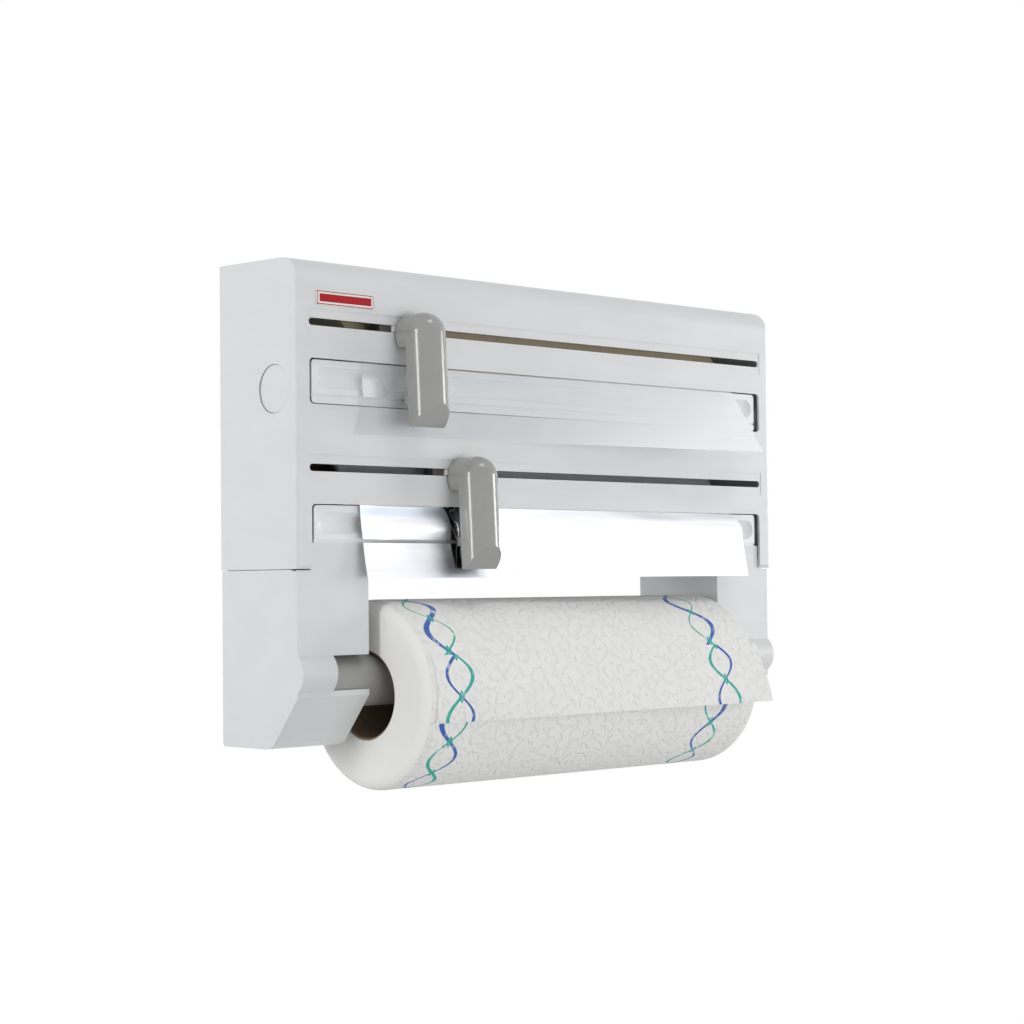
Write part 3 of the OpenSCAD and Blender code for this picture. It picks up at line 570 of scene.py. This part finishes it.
@dataclass(frozen=True)
class BrightFoil:
    """Household foil: bright and a little crinkled, with painted grey-blue and grey shade near the blade, a
    painted pale-blue reflection band on its stub, and a painted dark reflection with painted glints where it
    is crumpled beside the blade.
    """

    name: str
    dark_from: float
    dark_to: float
    cut_z: float
    shine: float = 1.0
    light: Colour = (0.975, 0.98, 0.99)
    soft: Colour = (0.86, 0.885, 0.925)
    # The next five colours are painted light: a pale-blue reflection band (sky), grey-blue shade, grey shade,
    # a dark reflection and its glints.
    sky: Colour = (0.72, 0.82, 0.95)
    painted_shade_blue_grey: Colour = (0.62, 0.66, 0.73)
    painted_shade_grey: Colour = (0.45, 0.46, 0.49)
    painted_reflection_black: Colour = (0.012, 0.012, 0.014)
    painted_glint: Colour = (0.85, 0.85, 0.86)
    relief: float = 0.1 * MM

    def material(self) -> bpy.types.Material:
        """Builds the material.

        Returns:
            The finished material.
        """
        graph = ShaderGraph(self.name)
        place = graph.place()
        across, _, height = graph.split(place)
        rolled = graph.noise(graph.stretched(place, (3, 60, 60)), 4.0, 3.0)
        crinkle = graph.noise(graph.stretched(place, (40, 60, 90)), 2.0, 4.0, 0.6)
        lines = graph.noise(graph.stretched(place, (90, 90, 45)), 2.0, 0.0)
        # Painted glints: thin bright squiggles inside the painted dark reflection.
        painted_glint_squiggle = 1 - abs(lines - 0.5).ramp(0.004, 0.02)
        rise = height - self.cut_z
        left_of = 1 - across.ramp(self.dark_from, self.dark_to)
        # Painted dark reflection beside the blade, where the foil is crumpled.
        painted_dark_reflection_zone = (across + rise * 0.12).ramp(self.dark_from - 0.6 * MM, self.dark_from + 0.6 * MM)
        painted_dark_reflection_zone = painted_dark_reflection_zone * (1 - across.ramp(self.dark_to - 3 * MM, self.dark_to + 3 * MM))
        painted_dark_reflection_zone = painted_dark_reflection_zone * rise.ramp(-16 * MM, -14 * MM)
        painted_dark_reflection = graph.blend(painted_glint_squiggle, self.painted_reflection_black, self.painted_glint)
        bright = graph.blend(rolled.ramp(0.35, 0.7), self.soft, self.light)
        # Painted grey-blue shade on the lower foil towards the blade, fading out below the cut.
        painted_shade_near_blade = across.ramp(self.dark_from - 34 * MM, self.dark_from)
        painted_shade_near_blade = painted_shade_near_blade * (1 - across.ramp(self.dark_to, self.dark_to + 5 * MM))
        bright = graph.blend(painted_shade_near_blade * (1 - rise.ramp(-17 * MM, -4 * MM)) * 0.8, bright, self.painted_shade_blue_grey)
        # Painted grey shade on the rounded right end of the stub, just above the cut.
        painted_cap_shade = across.ramp(self.dark_from - 6 * MM, self.dark_from - 1 * MM) * rise.ramp(0.0, 1 * MM)
        painted_cap_shade = painted_cap_shade * (1 - across.ramp(self.dark_to, self.dark_to + 4 * MM))
        bright = graph.blend(painted_cap_shade * 0.8, bright, self.painted_shade_grey)
        # Painted pale-blue reflection band along the top of the stub, left of the crumpled patch.
        painted_reflection_band = rise.ramp(12 * MM, 15 * MM) * (1 - rise.ramp(17 * MM, 19 * MM)) * left_of
        bright = graph.blend(painted_reflection_band * 0.8, bright, self.sky)
        settings = {
            "Base Color": graph.blend(painted_dark_reflection_zone, bright, painted_dark_reflection),
            "Metallic": self.shine,
            "Roughness": 0.24 + rolled * 0.12,
            "Normal": graph.bump(crinkle * 0.6 + rolled * 0.4, self.relief),
        }
        return graph.finish(graph.surface(settings))


@dataclass(frozen=True)
class EnamelBadge:
    """A blank enamel badge: red field and line on a pale plate."""

    name: str
    middle: tuple[float, float]
    half: tuple[float, float]
    red: Colour = (0.42, 0.002, 0.010)
    pale: Colour = (0.82, 0.81, 0.80)
    line: tuple[float, float] = (0.25 * MM, 0.7 * MM)
    field: float = 1.7 * MM
    mottle_shade: float = 0.85

    def material(self) -> bpy.types.Material:
        """Builds the material.

        Returns:
            The finished material.
        """
        graph = ShaderGraph(self.name)
        across, _, height = graph.split(graph.place())
        side = self.half[0] - abs(across - self.middle[0])
        end = self.half[1] - abs(height - self.middle[1])
        margin = side.at_most(end)
        line = (margin > self.line[0]) * (margin < self.line[1])
        field = margin > self.field
        mottle = graph.noise(graph.place(), 700.0, 2.0)
        red = graph.blend(mottle, self.red, shaded(self.red, self.mottle_shade))
        settings = {
            "Base Color": graph.blend(line.at_least(field), self.pale, red),
            "Roughness": 0.35 + mottle * 0.06,
            "Specular IOR Level": 0.25,
        }
        return graph.finish(graph.surface(settings))


class Bench:
    """Mesh work by operators, one object at a time."""

    WELD = 0.002 * MM
    SEAM = 0.001 * MM
    FLAT_ANGLE = math.radians(0.4)
    SMOOTH_ANGLE = math.radians(30.0)
    SHEET_ANGLE = math.radians(50.0)
    EDGE_SEGMENTS = 8
    FULL_TURN = 360.0

    @staticmethod
    def clear() -> None:
        """Leaves edit mode and deselects everything."""
        if bpy.context.object and bpy.context.object.mode != "OBJECT":
            bpy.ops.object.mode_set(mode="OBJECT")
        bpy.ops.object.select_all(action="DESELECT")

    @classmethod
    def pick(cls, piece: bpy.types.Object) -> None:
        """Makes a piece the only selected and active one.

        Args:
            piece: what is picked.
        """
        cls.clear()
        piece.select_set(True)
        bpy.context.view_layer.objects.active = piece

    @classmethod
    def copy_of(cls, node: str, name: str) -> bpy.types.Object:
        """A merged copy of a CAD node with flat faces joined.

        Args:
            node: the CAD node.
            name: the copy's name.

        Returns:
            The copy.
        """
        source = frame["nodes"][node]
        piece = bpy.data.objects.new(name, source.data.copy())
        bpy.context.scene.collection.objects.link(piece)
        cls.pick(piece)
        bpy.ops.object.mode_set(mode="EDIT")
        bpy.ops.mesh.select_all(action="SELECT")
        bpy.ops.mesh.remove_doubles(threshold=cls.WELD)
        bpy.ops.mesh.dissolve_limited(angle_limit=cls.FLAT_ANGLE)
        bpy.ops.object.mode_set(mode="OBJECT")
        return piece

    @classmethod
    def soften(cls, piece: bpy.types.Object, width: float, segments: int = 3, angle: float = 35.0) -> None:
        """Rounds a piece's sharp edges.

        Args:
            piece: what is rounded.
            width: size of the rounding.
            segments: how many faces it has.
            angle: the least bend of an edge that is rounded, in degrees.
        """
        cls.pick(piece)
        bevel = piece.modifiers.new("soft_edges", "BEVEL")
        bevel.width = width
        bevel.segments = segments
        bevel.limit_method = "ANGLE"
        bevel.angle_limit = math.radians(angle)
        bevel.use_clamp_overlap = True
        bevel.miter_outer = "MITER_ARC"
        bpy.ops.object.modifier_apply(modifier=bevel.name)
        cls.keep_flats(piece)

    @classmethod
    def keep_flats(cls, piece: bpy.types.Object) -> None:
        """Shades the active piece smooth, with large flat faces kept flat.

        Args:
            piece: the picked piece.
        """
        bpy.ops.object.shade_smooth_by_angle(angle=cls.SMOOTH_ANGLE)
        flat = piece.modifiers.new("flat_faces", "WEIGHTED_NORMAL")
        flat.weight = 100
        flat.keep_sharp = True
        bpy.ops.object.modifier_apply(modifier=flat.name)

    @classmethod
    def sheet(
        cls,
        name: str,
        cells: tuple[int, int],
        point: Callable[[float, float], Vector],
        kept: Callable[[float, float], bool],
        flat: tuple[float, float],
        thickness: float,
    ) -> bpy.types.Object:
        """A thin sheet from a grid whose points follow a rule.

        Args:
            name: the piece's name.
            cells: how many cells across and down.
            point: gives the place of a point from its share across and down.
            kept: says of a cell's middle, in the same shares, whether it is there.
            flat: the flat size that the UV map holds.
            thickness: of the sheet.

        Returns:
            The finished piece.
        """
        cls.clear()
        bpy.ops.mesh.primitive_grid_add(x_subdivisions=cells[0], y_subdivisions=cells[1], size=1.0)
        piece = bpy.context.object
        piece.name = name
        bpy.ops.object.mode_set(mode="EDIT")
        bpy.ops.mesh.select_mode(type="FACE")
        bpy.ops.mesh.select_all(action="DESELECT")
        bpy.ops.object.mode_set(mode="OBJECT")
        mesh = piece.data
        uv = mesh.uv_layers.active or mesh.uv_layers.new(name="flat")
        share = [(v.co.x + 0.5, 0.5 - v.co.y) for v in mesh.vertices]
        for polygon in mesh.polygons:
            middle = [sum(share[i][k] for i in polygon.vertices) / len(polygon.vertices) for k in (0, 1)]
            polygon.select = not kept(*middle)
            for loop in polygon.loop_indices:
                across, down = share[mesh.loops[loop].vertex_index]
                uv.data[loop].uv = ((across - 0.5) * flat[0], -down * flat[1])
        for vertex, (across, down) in zip(mesh.vertices, share):
            vertex.co = point(across, down)
        cls.pick(piece)
        if any(polygon.select for polygon in mesh.polygons):
            bpy.ops.object.mode_set(mode="EDIT")
            bpy.ops.mesh.delete(type="FACE")
            bpy.ops.object.mode_set(mode="OBJECT")
        wall = piece.modifiers.new("thickness", "SOLIDIFY")
        wall.thickness = thickness
        wall.offset = 0.0
        bpy.ops.object.modifier_apply(modifier=wall.name)
        bpy.ops.object.shade_smooth_by_angle(angle=cls.SHEET_ANGLE)
        return piece

    @classmethod
    def turned(
        cls,
        name: str,
        ends: tuple[float, float],
        radii: tuple[float, float],
        centre: Vector,
        edge: float,
        steps: int,
        sweep: float = FULL_TURN,
    ) -> bpy.types.Object:
        """A hollow cylinder along X with soft outer edges, turned from its section.

        Args:
            name: the piece's name.
            ends: where it starts and ends along X.
            radii: of its bore and its outside.
            centre: a point on its axis.
            edge: rounding of its outer edges.
            steps: faces around it.
            sweep: how far around it goes, in degrees, from its rear over its top.

        Returns:
            The finished piece.
        """
        cls.clear()
        axis = (0.0, centre.y, centre.z)
        middle = ((ends[0] + ends[1]) / 2, centre.y + (radii[0] + radii[1]) / 2, centre.z)
        bpy.ops.mesh.primitive_plane_add(size=1.0, location=middle)
        piece = bpy.context.object
        piece.name = name
        piece.scale = (ends[1] - ends[0], radii[1] - radii[0], 1.0)
        bpy.ops.object.transform_apply(location=True, rotation=True, scale=True)
        outer = [v.co.y > middle[1] for v in piece.data.vertices]
        bpy.ops.object.mode_set(mode="EDIT")
        bpy.ops.mesh.select_mode(type="VERT")
        bpy.ops.mesh.select_all(action="DESELECT")
        bpy.ops.object.mode_set(mode="OBJECT")
        for vertex, is_outer in zip(piece.data.vertices, outer):
            vertex.select = is_outer
        bpy.ops.object.mode_set(mode="EDIT")
        bpy.ops.mesh.bevel(offset=edge, segments=cls.EDGE_SEGMENTS, affect="VERTICES")
        bpy.ops.mesh.select_all(action="SELECT")
        closed = sweep >= cls.FULL_TURN
        if closed:
            bpy.ops.mesh.delete(type="ONLY_FACE")
            bpy.ops.mesh.select_all(action="SELECT")
        bpy.ops.mesh.spin(
            steps=steps, angle=math.radians(sweep), center=axis, axis=(-1, 0, 0), use_auto_merge=closed
        )
        bpy.ops.mesh.select_all(action="SELECT")
        bpy.ops.mesh.remove_doubles(threshold=cls.SEAM)
        bpy.ops.mesh.normals_make_consistent(inside=False)
        bpy.ops.object.mode_set(mode="OBJECT")
        cls.keep_flats(piece)
        return piece


def smooth(value: float, low: float, high: float) -> float:
    """Nought below low, one above high, and smooth between."""
    share = min(1.0, max(0.0, (value - low) / (high - low)))
    return share * share * (3 - 2 * share)


def dress(
    piece: bpy.types.Object, material: bpy.types.Material, body: str, part: Part, *nodes: str
) -> bpy.types.Object:
    """Gives a new piece its finish and body, and hides the nodes that it stands for.

    Args:
        piece: the new piece.
        material: its only material.
        body: what it rides on.
        part: its material slot in the record; not used.
        nodes: the CAD nodes that it replaces.

    Returns:
        The piece.
    """
    piece.data.materials.clear()
    piece.data.materials.append(material)
    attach(piece, body)
    if nodes:
        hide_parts(*nodes)
    LOG.info("%s rides on %s", piece.name, body)
    return piece


def body_of(node: str) -> str:
    """The body that a CAD node belongs to."""
    bodies = frame["record"]["behaviour"]["bodies"]
    return next(name for name, members in bodies.items() if node in members)


@dataclass(frozen=True)
class Palette:
    """All finishes of the holder, made once."""

    white: bpy.types.Material
    tray: bpy.types.Material
    inner: bpy.types.Material
    grey: bpy.types.Material
    axle: bpy.types.Material
    slider: bpy.types.Material
    steel: bpy.types.Material
    board: bpy.types.Material

    @classmethod
    def mixed(cls) -> "Palette":
        """Makes the finishes that several pieces share.

        Returns:
            The palette.
        """
        return cls(
            white=MouldedPlastic("white_moulding", (0.745, 0.755, 0.765), 0.3, gloss=0.3).material(),
            # The trays get a lighter copy of the white moulding: painted light that offsets the shade inside
            # the windows.
            tray=MouldedPlastic("white_tray_moulding", (0.87, 0.88, 0.89), 0.25).material(),
            inner=MouldedPlastic("white_inner_moulding", (0.79, 0.795, 0.795), 0.42).material(),
            grey=MouldedPlastic(
                "grey_gloss_moulding", (0.335, 0.335, 0.322), 0.16, grain=0.004 * MM, gloss=0.6
            ).material(),
            axle=MouldedPlastic("grey_matt_moulding", (0.36, 0.36, 0.345), 0.5, gloss=0.3).material(),
            # Near-black finish for the carriages: painted shade for the dark seen through the slots.
            slider=MouldedPlastic("dark_slider_moulding", (0.075, 0.068, 0.06), 0.4).material(),
            steel=BrushedSteel("drawn_steel").material(),
            board=RolledBoard("wound_board").material(),
        )


@dataclass
class Shell:
    """The rigid mouldings: each is a softened copy of its CAD node."""

    palette: Palette
    edge: float = 0.5 * MM
    thin_edge: float = 0.3 * MM
    guide_edge: float = 0.15 * MM
    handle_edge: float = 1.2 * MM
    axle_edge: float = 0.4 * MM

    def build(self) -> None:
        """Softens and dresses the visible mouldings."""
        palette = self.palette
        groups = (
            (("front_cover", "left_bracket", "right_bracket"), self.edge, palette.white, Part.WHITE),
            (("floor_shelf", "left_button", "right_button"), self.thin_edge, palette.white, Part.WHITE),
            (("upper_guide", "lower_guide"), self.guide_edge, palette.white, Part.WHITE),
            (("upper_tray", "lower_tray"), self.thin_edge, palette.tray, Part.WHITE),
            (("upper_handle", "lower_handle"), self.handle_edge, palette.grey, Part.GREY),
            (("axle_sleeve", "axle_plunger"), self.axle_edge, palette.axle, Part.GREY),
        )
        for nodes, width, material, part in groups:
            for node in nodes:
                self._moulding(node, width, material, part)

    @staticmethod
    def _moulding(node: str, width: float, material: bpy.types.Material, part: Part) -> None:
        """Replaces one node by its softened copy.

        Args:
            node: the CAD node.
            width: rounding of its edges.
            material: its finish.
            part: its material slot in the record.
        """
        piece = Bench.copy_of(node, f"{node}_moulding")
        Bench.soften(piece, width)
        dress(piece, material, body_of(node), part, node)


@dataclass
class HangingEnd:
    """The free end of a roll that hangs out of its window and is cut from the left as far as the blade."""

    node: str
    blade: str
    roll: str
    body: str
    part: Part
    thickness: float
    flat: tuple[float, float]
    cells: tuple[int, int] = (150, 60)
    slit: float = 1.0 * MM
    past_blade: float = 1 * MM
    inside: float = 0.6 * MM
    step: float = 1.4 * MM

    def __post_init__(self) -> None:
        """Reads the sheet's place from the frame."""
        low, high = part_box(self.node)
        self.top, self.low = high.z, low.z
        self.left, self.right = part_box(self.roll)[0].x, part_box(self.roll)[1].x
        self.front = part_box("front_cover")[0].y
        blade_low, blade_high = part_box(self.blade)
        self.cut_z = (blade_low.z + blade_high.z) / 2
        self.cut_x = blade_high.x + self.past_blade

    def out(self, across: float, down: float, x: float) -> float:
        """How far the sheet stands in front of the cover: here only its step over the window's edge.

        Args:
            across: share of the width from the left.
            down: share of the height from the top.
            x: place across.

        Returns:
            The distance, negative inside the window.
        """
        return -self.inside + self.step * min(1.0, 2 * down)

    def aside(self, across: float, down: float) -> float:
        """How far the sheet flares to the left."""
        return 0.0

    def place(self, across: float, down: float) -> Vector:
        """A point of the sheet.

        Args:
            across: share of the width from the left.
            down: share of the height from the top.

        Returns:
            The point.
        """
        x = self.left + (self.right - self.left) * across
        z = self.top + (self.low - self.top) * down
        return Vector((x - self.aside(across, down), self.front - self.out(across, down, x), z))

    def kept(self, across: float, down: float) -> bool:
        """Whether a cell is there, or lies in the cut."""
        point = self.place(across, down)
        return abs(point.z - self.cut_z) > self.slit / 2 or point.x > self.cut_x

    def build(self, material: bpy.types.Material) -> None:
        """Makes the sheet.

        Args:
            material: its finish.
        """
        name = f"{self.node}_end"
        piece = Bench.sheet(name, self.cells, self.place, self.kept, self.flat, self.thickness)
        dress(piece, material, self.body, self.part, self.node)


@dataclass
class FilmEnd(HangingEnd):
    """Cling film, which leans out more and more towards the right."""

    lean: float = 25 * MM
    flare: float = 7 * MM
    ripple: float = 0.05 * MM

    def out(self, across: float, down: float, x: float) -> float:
        """How far the film stands in front of the cover.

        Args:
            across: share of the width from the left.
            down: share of the height from the top.
            x: place across.

        Returns:
            The distance, negative inside the window.
        """
        waves = math.sin(61 * across + 3 * down) + 0.6 * math.sin(143 * across - 5 * down)
        lean = self.lean * across ** 1.6 * down
        return super().out(across, down, x) + lean + self.ripple * waves * smooth(down, 0.05, 0.5)

    def aside(self, across: float, down: float) -> float:
        """How far the film flares to the left."""
        return self.flare * (1 - across) ** 4 * max(0.0, 2 * down - 1)


@dataclass
class FoilEnd(HangingEnd):
    """Foil, puffed out above its cut, with a stiff lean below it."""

    lean: float = 5 * MM
    bulge: float = 8 * MM
    puff: float = 3.4 * MM
    crease: float = 0.04 * MM
    slit: float = 1.8 * MM
    puff_in: float = 30 * MM
    puff_out: tuple[float, float] = (18 * MM, 4 * MM)
    patch: tuple[float, float] = (18 * MM, 3 * MM)

    def out(self, across: float, down: float, x: float) -> float:
        """How far the foil stands in front of the cover.

        Args:
            across: share of the width from the left.
            down: share of the height from the top.
            x: place across.

        Returns:
            The distance, negative inside the window.
        """
        step = super().out(across, down, x)
        lean = self.lean * down * down
        right = self.bulge * across * across * math.sin(math.pi / 2 * min(1.0, 4 * down))
        stub = self.puff * (1 - smooth(x, self.cut_x - self.puff_out[0], self.cut_x - self.puff_out[1]))
        stub *= max(0.0, math.sin(2 * math.pi * down)) * smooth(x, self.left, self.left + self.puff_in)
        waves = math.sin(47 * across + 9 * down) * math.sin(7 * down + 2)
        return step + lean + right + stub + self.crease * waves * smooth(down, 0.1, 0.4)

    def dark_reflection_span(self) -> tuple[float, float]:
        """Where the painted dark reflection on the crumpled patch beside the blade starts and ends."""
        return self.cut_x - self.patch[0], self.cut_x + self.patch[1]


@dataclass
class KitchenRoll:
    """The kitchen roll: a wound cylinder with soft edges, and its loose end."""

    edge: float = 8 * MM
    steps: int = 160
    core_gap: float = 0.05 * MM
    end_facing: float = 0.5
    flap_cells: tuple[int, int] = (90, 30)
    flap_from: float = -25.0
    flap_left: float = 15.5
    flap_right: float = 12.0
    flap_in: float = 6.5 * MM
    stand: float = 0.1 * MM
    lean: float = 9.4 * MM
    gap: float = 0.16 * MM
    sag: float = 0.4 * MM
    thickness: float = 0.25 * MM

    def __post_init__(self) -> None:
        """Reads the roll's place from the frame."""
        low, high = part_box("paper_roll")
        self.left, self.right = low.x, high.x
        self.radius = (high.z - low.z) / 2
        self.centre = (low + high) / 2
        core_low, core_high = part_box("paper_core")
        self.bore = (core_high.z - core_low.z) / 2 + self.core_gap

    def build(self) -> None:
        """Makes the roll and its loose end."""
        width = self.right - self.left
        paper = KitchenPaper("kitchen_paper", width).material()
        end = LightenedPaperEnd("kitchen_paper_end", (self.centre.y, self.centre.z)).material()
        ends, radii = (self.left, self.right), (self.bore, self.radius)
        roll = Bench.turned("paper_roll_wound", ends, radii, self.centre, self.edge, self.steps)
        self._unroll(roll)
        dress(roll, paper, "kitchen_roll", Part.PAPER, "paper_roll")
        roll.data.materials.append(end)
        # The end faces get the lightened end finish, painted light.
        for polygon in roll.data.polygons:
            polygon.material_index = 1 if abs(polygon.normal.x) > self.end_facing else 0
        length = math.radians(self.flap_left - self.flap_from) * self.radius
        flat = (width - self.flap_in, length)
        flap = Bench.sheet(
            "paper_flap_end", self.flap_cells, self._flap, lambda across, down: True, flat, self.thickness
        )
        dress(flap, paper, "kitchen_roll", Part.PAPER, "paper_flap")

    def _flap(self, across: float, down: float) -> Vector:
        """A point of the loose end.

        Args:
            across: share of its width from the left.
            down: share of its length from where it leaves the roll.

        Returns:
            The point.
        """
        end = self.flap_left + (self.flap_right - self.flap_left) * across
        turn = math.radians(self.flap_from + down * (end - self.flap_from))
        sag = self.sag * math.sin(9 * across) * down * smooth(across, 0.0, 0.3)
        radius = self.radius + self.gap + (self.stand + self.lean * across) * down * down + sag
        start = self.left + self.flap_in
        x = start + (self.right - start) * across
        return Vector((x, self.centre.y - radius * math.cos(turn), self.centre.z - radius * math.sin(turn)))

    def _unroll(self, roll: bpy.types.Object) -> None:
        """Gives the roll the UV map of its unrolled sheet, in metres.

        Args:
            roll: the wound roll.
        """
        mesh = roll.data
        layer = mesh.uv_layers.active or mesh.uv_layers.new(name="flat")
        for polygon in mesh.polygons:
            middle = math.atan2(polygon.center.z - self.centre.z, polygon.center.y - self.centre.y)
            for loop in polygon.loop_indices:
                point = mesh.vertices[mesh.loops[loop].vertex_index].co
                turn = math.atan2(point.z - self.centre.z, point.y - self.centre.y)
                turn += 2 * math.pi * round((middle - turn) / (2 * math.pi))
                layer.data[loop].uv = (point.x - self.centre.x, turn * self.radius)


@dataclass
class WoundRolls:
    """Film and foil on their cardboard cores inside the housing."""

    wrap: float = 205.0
    edge: float = 0.4 * MM
    steps: int = 90
    core_gap: float = 0.05 * MM
    foil_shine: float = 0.5
    nowhere: float = 9.0

    def build(self) -> None:
        """Dresses the film roll and makes the foil's winding.

        The winding goes only wrap degrees around its core, from the rear over the top. It has no painted dark
        reflection.
        """
        film = MouldedPlastic("wound_film", (0.92, 0.80, 0.60), 0.3, gloss=0.6).material()
        for slot in frame["nodes"]["film_roll"].material_slots:
            slot.material = film
        low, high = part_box("foil_roll")
        core_low, core_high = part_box("foil_core")
        radii = ((core_high.z - core_low.z) / 2 + self.core_gap, (high.z - low.z) / 2)
        ends, centre = (low.x, high.x), (low + high) / 2
        foil = Bench.turned("foil_roll_wound", ends, radii, centre, self.edge, self.steps, self.wrap)
        finish = BrightFoil("wound_foil", self.nowhere, self.nowhere + 0.1, 0.0, shine=self.foil_shine)
        dress(foil, finish.material(), "foil", Part.FOIL, "foil_roll")


@dataclass
class Badge:
    """The blank badge on the cover."""

    edge: float = 0.25 * MM

    def build(self) -> None:
        """Makes the badge from its CAD plate."""
        low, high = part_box("badge_plate")
        middle, half = (low + high) / 2, (high - low) / 2
        finish = EnamelBadge("blank_enamel", (middle.x, middle.z), (half.x, half.z))
        plate = Bench.copy_of("badge_plate", "badge_enamel")
        Bench.soften(plate, self.edge)
        dress(plate, finish.material(), "cover", Part.BADGE, "badge_plate")


@dataclass
class HiddenParts:
    """CAD nodes that stay as they are and only get their finish."""

    palette: Palette

    def dress(self) -> None:
        """Gives each node that no piece replaces its finish."""
        finishes = {
            Part.WHITE: self.palette.inner, Part.GREY: self.palette.grey, Part.STEEL: self.palette.steel,
            Part.BOARD: self.palette.board,
        }
        for entry in frame["record"]["subparts"]:
            node = frame["nodes"][entry["node"]]
            part = Part(entry["material_slot"])
            if not node.hide_render and part in finishes:
                # Carriages get the near-black finish, painted shade for the dark inside the slots.
                slider = entry["node"].endswith("_carriage")
                for slot in node.material_slots:
                    slot.material = self.palette.slider if slider else finishes[part]


@dataclass
class Camera:
    """The viewing point, measured from the wall screws."""

    place: tuple[float, float, float] = (-0.87936, -0.96215, -0.09259)
    yaw: float = -43.312
    pitch: float = 1.9955
    roll: float = -0.6154
    focal: float = 2150.0
    picture: float = 1024.0
    sensor: float = 36.0

    def build(self) -> None:
        """Sets up the camera."""
        data = bpy.data.cameras.new("photo_camera")
        data.sensor_width = self.sensor
        data.lens = self.sensor * self.focal / self.picture
        yaw, pitch, roll = (math.radians(a) for a in (self.yaw, self.pitch, self.roll))
        right = Vector((math.cos(yaw), math.sin(yaw), 0))
        ahead = Vector((-math.sin(yaw), math.cos(yaw), 0))
        up = Vector((0, 0, 1))
        look = ahead * math.cos(pitch) + up * math.sin(pitch)
        rise = up * math.cos(pitch) - ahead * math.sin(pitch)
        side = right * math.cos(roll) + rise * math.sin(roll)
        rise = rise * math.cos(roll) - right * math.sin(roll)
        turn = Matrix((side, rise, -look)).transposed().to_4x4()
        camera = bpy.data.objects.new("photo_camera", data)
        bpy.context.scene.collection.objects.link(camera)
        camera.matrix_world = Matrix.Translation(self.place) @ turn
        bpy.context.scene.camera = camera


@dataclass(frozen=True)
class SoftBox:
    """A rectangular lamp that points at the holder."""

    name: str
    place: tuple[float, float, float]
    size: tuple[float, float]
    power: float
    aim: tuple[float, float, float] = (0.0, -0.05, 0.0)

    def build(self) -> None:
        """Makes the lamp."""
        data = bpy.data.lights.new(self.name, "AREA")
        data.shape = "RECTANGLE"
        data.size, data.size_y = self.size
        data.energy = self.power
        lamp = bpy.data.objects.new(self.name, data)
        bpy.context.scene.collection.objects.link(lamp)
        lamp.location = self.place
        lamp.rotation_euler = (Vector(self.aim) - Vector(self.place)).to_track_quat("-Z", "Y").to_euler()


@dataclass
class Studio:
    """Soft light, pale floor and white surroundings."""

    floor_z: float = -0.42
    floor_size: float = 14.0
    floor_shade: float = 0.8
    floor_glow: float = 1.05
    glow_share: float = 0.93
    sky: float = 0.38
    lamps: tuple[SoftBox, ...] = (
        SoftBox("left_strip", (-1.62, -0.2, 0.28), (0.26, 0.7), 6.8),
        SoftBox("rear_left", (-1.25, 1.3, 0.05), (0.7, 1.0), 4.6),
        SoftBox("right_key", (2.35, -1.15, 0.12), (0.75, 0.8), 17.5),
        SoftBox("low_box", (0.15, -1.75, -0.3), (1.4, 0.4), 8.6, aim=(0.0, -0.05, -0.02)),
        SoftBox("top_box", (0.15, -0.8, 1.45), (0.7, 0.5), 4.2),
    )

    def build(self) -> None:
        """Makes the floor, the surroundings and the lamps."""
        bpy.context.scene.view_settings.view_transform = "Standard"
        self._floor()
        self._world()
        for lamp in self.lamps:
            lamp.build()

    def _floor(self) -> None:
        """A wide pale floor that is white to the camera and keeps a faint shadow."""
        Bench.clear()
        bpy.ops.mesh.primitive_plane_add(size=self.floor_size, location=(0, 0, self.floor_z))
        floor = bpy.context.object
        floor.name = "floor"
        graph = ShaderGraph("pale_floor")
        pale = (self.floor_shade, self.floor_shade, self.floor_shade, 1.0)
        diffuse = graph.node("ShaderNodeBsdfDiffuse", None, {"Color": pale})["BSDF"]
        inputs = {"Color": WHITE, "Strength": self.floor_glow}
        glow = graph.node("ShaderNodeEmission", None, inputs)["Emission"]
        share = self._seen(graph) * self.glow_share
        mixed = graph.node("ShaderNodeMixShader", None, {0: share, 1: diffuse, 2: glow})
        floor.data.materials.append(graph.finish(mixed["Shader"]))

    @staticmethod
    def _seen(graph: NodeGraph) -> Value:
        """One for what the camera sees straight, mirrored or through glass."""
        path = graph.node("ShaderNodeLightPath")
        return path["Is Camera Ray"].at_least(path["Is Glossy Ray"]).at_least(path["Is Transmission Ray"])

    def _world(self) -> None:
        """White surroundings that light the object only softly."""
        world = bpy.data.worlds.new("studio")
        bpy.context.scene.world = world
        world.use_nodes = True
        graph = NodeGraph(world.node_tree)
        light = self._seen(graph) * (1 - self.sky) + self.sky
        back = graph.node("ShaderNodeBackground", None, {"Color": WHITE, "Strength": light})["Background"]
        graph.node("ShaderNodeOutputWorld", None, {"Surface": back})


def main() -> None:
    """Builds the scene in order."""
    logging.basicConfig(level=logging.INFO, format="%(message)s")
    Camera().build()
    Studio().build()
    palette = Palette.mixed()
    Shell(palette).build()
    Badge().build()
    KitchenRoll().build()
    WoundRolls().build()
    film = FilmEnd(
        "film_sheet", "upper_blade", "film_roll", "cover", Part.FILM, 0.05 * MM, (302 * MM, 44.5 * MM)
    )
    film.build(ClingFilm("cling_film", film.left, film.cut_z).material())
    foil = FoilEnd(
        "foil_sheet", "lower_blade", "foil_roll", "cover", Part.FOIL, 0.06 * MM, (302 * MM, 41.5 * MM)
    )
    foil.build(BrightFoil("bright_foil", *foil.dark_reflection_span(), foil.cut_z).material())
    HiddenParts(palette).dress()


if __name__ == "__main__":
    main()
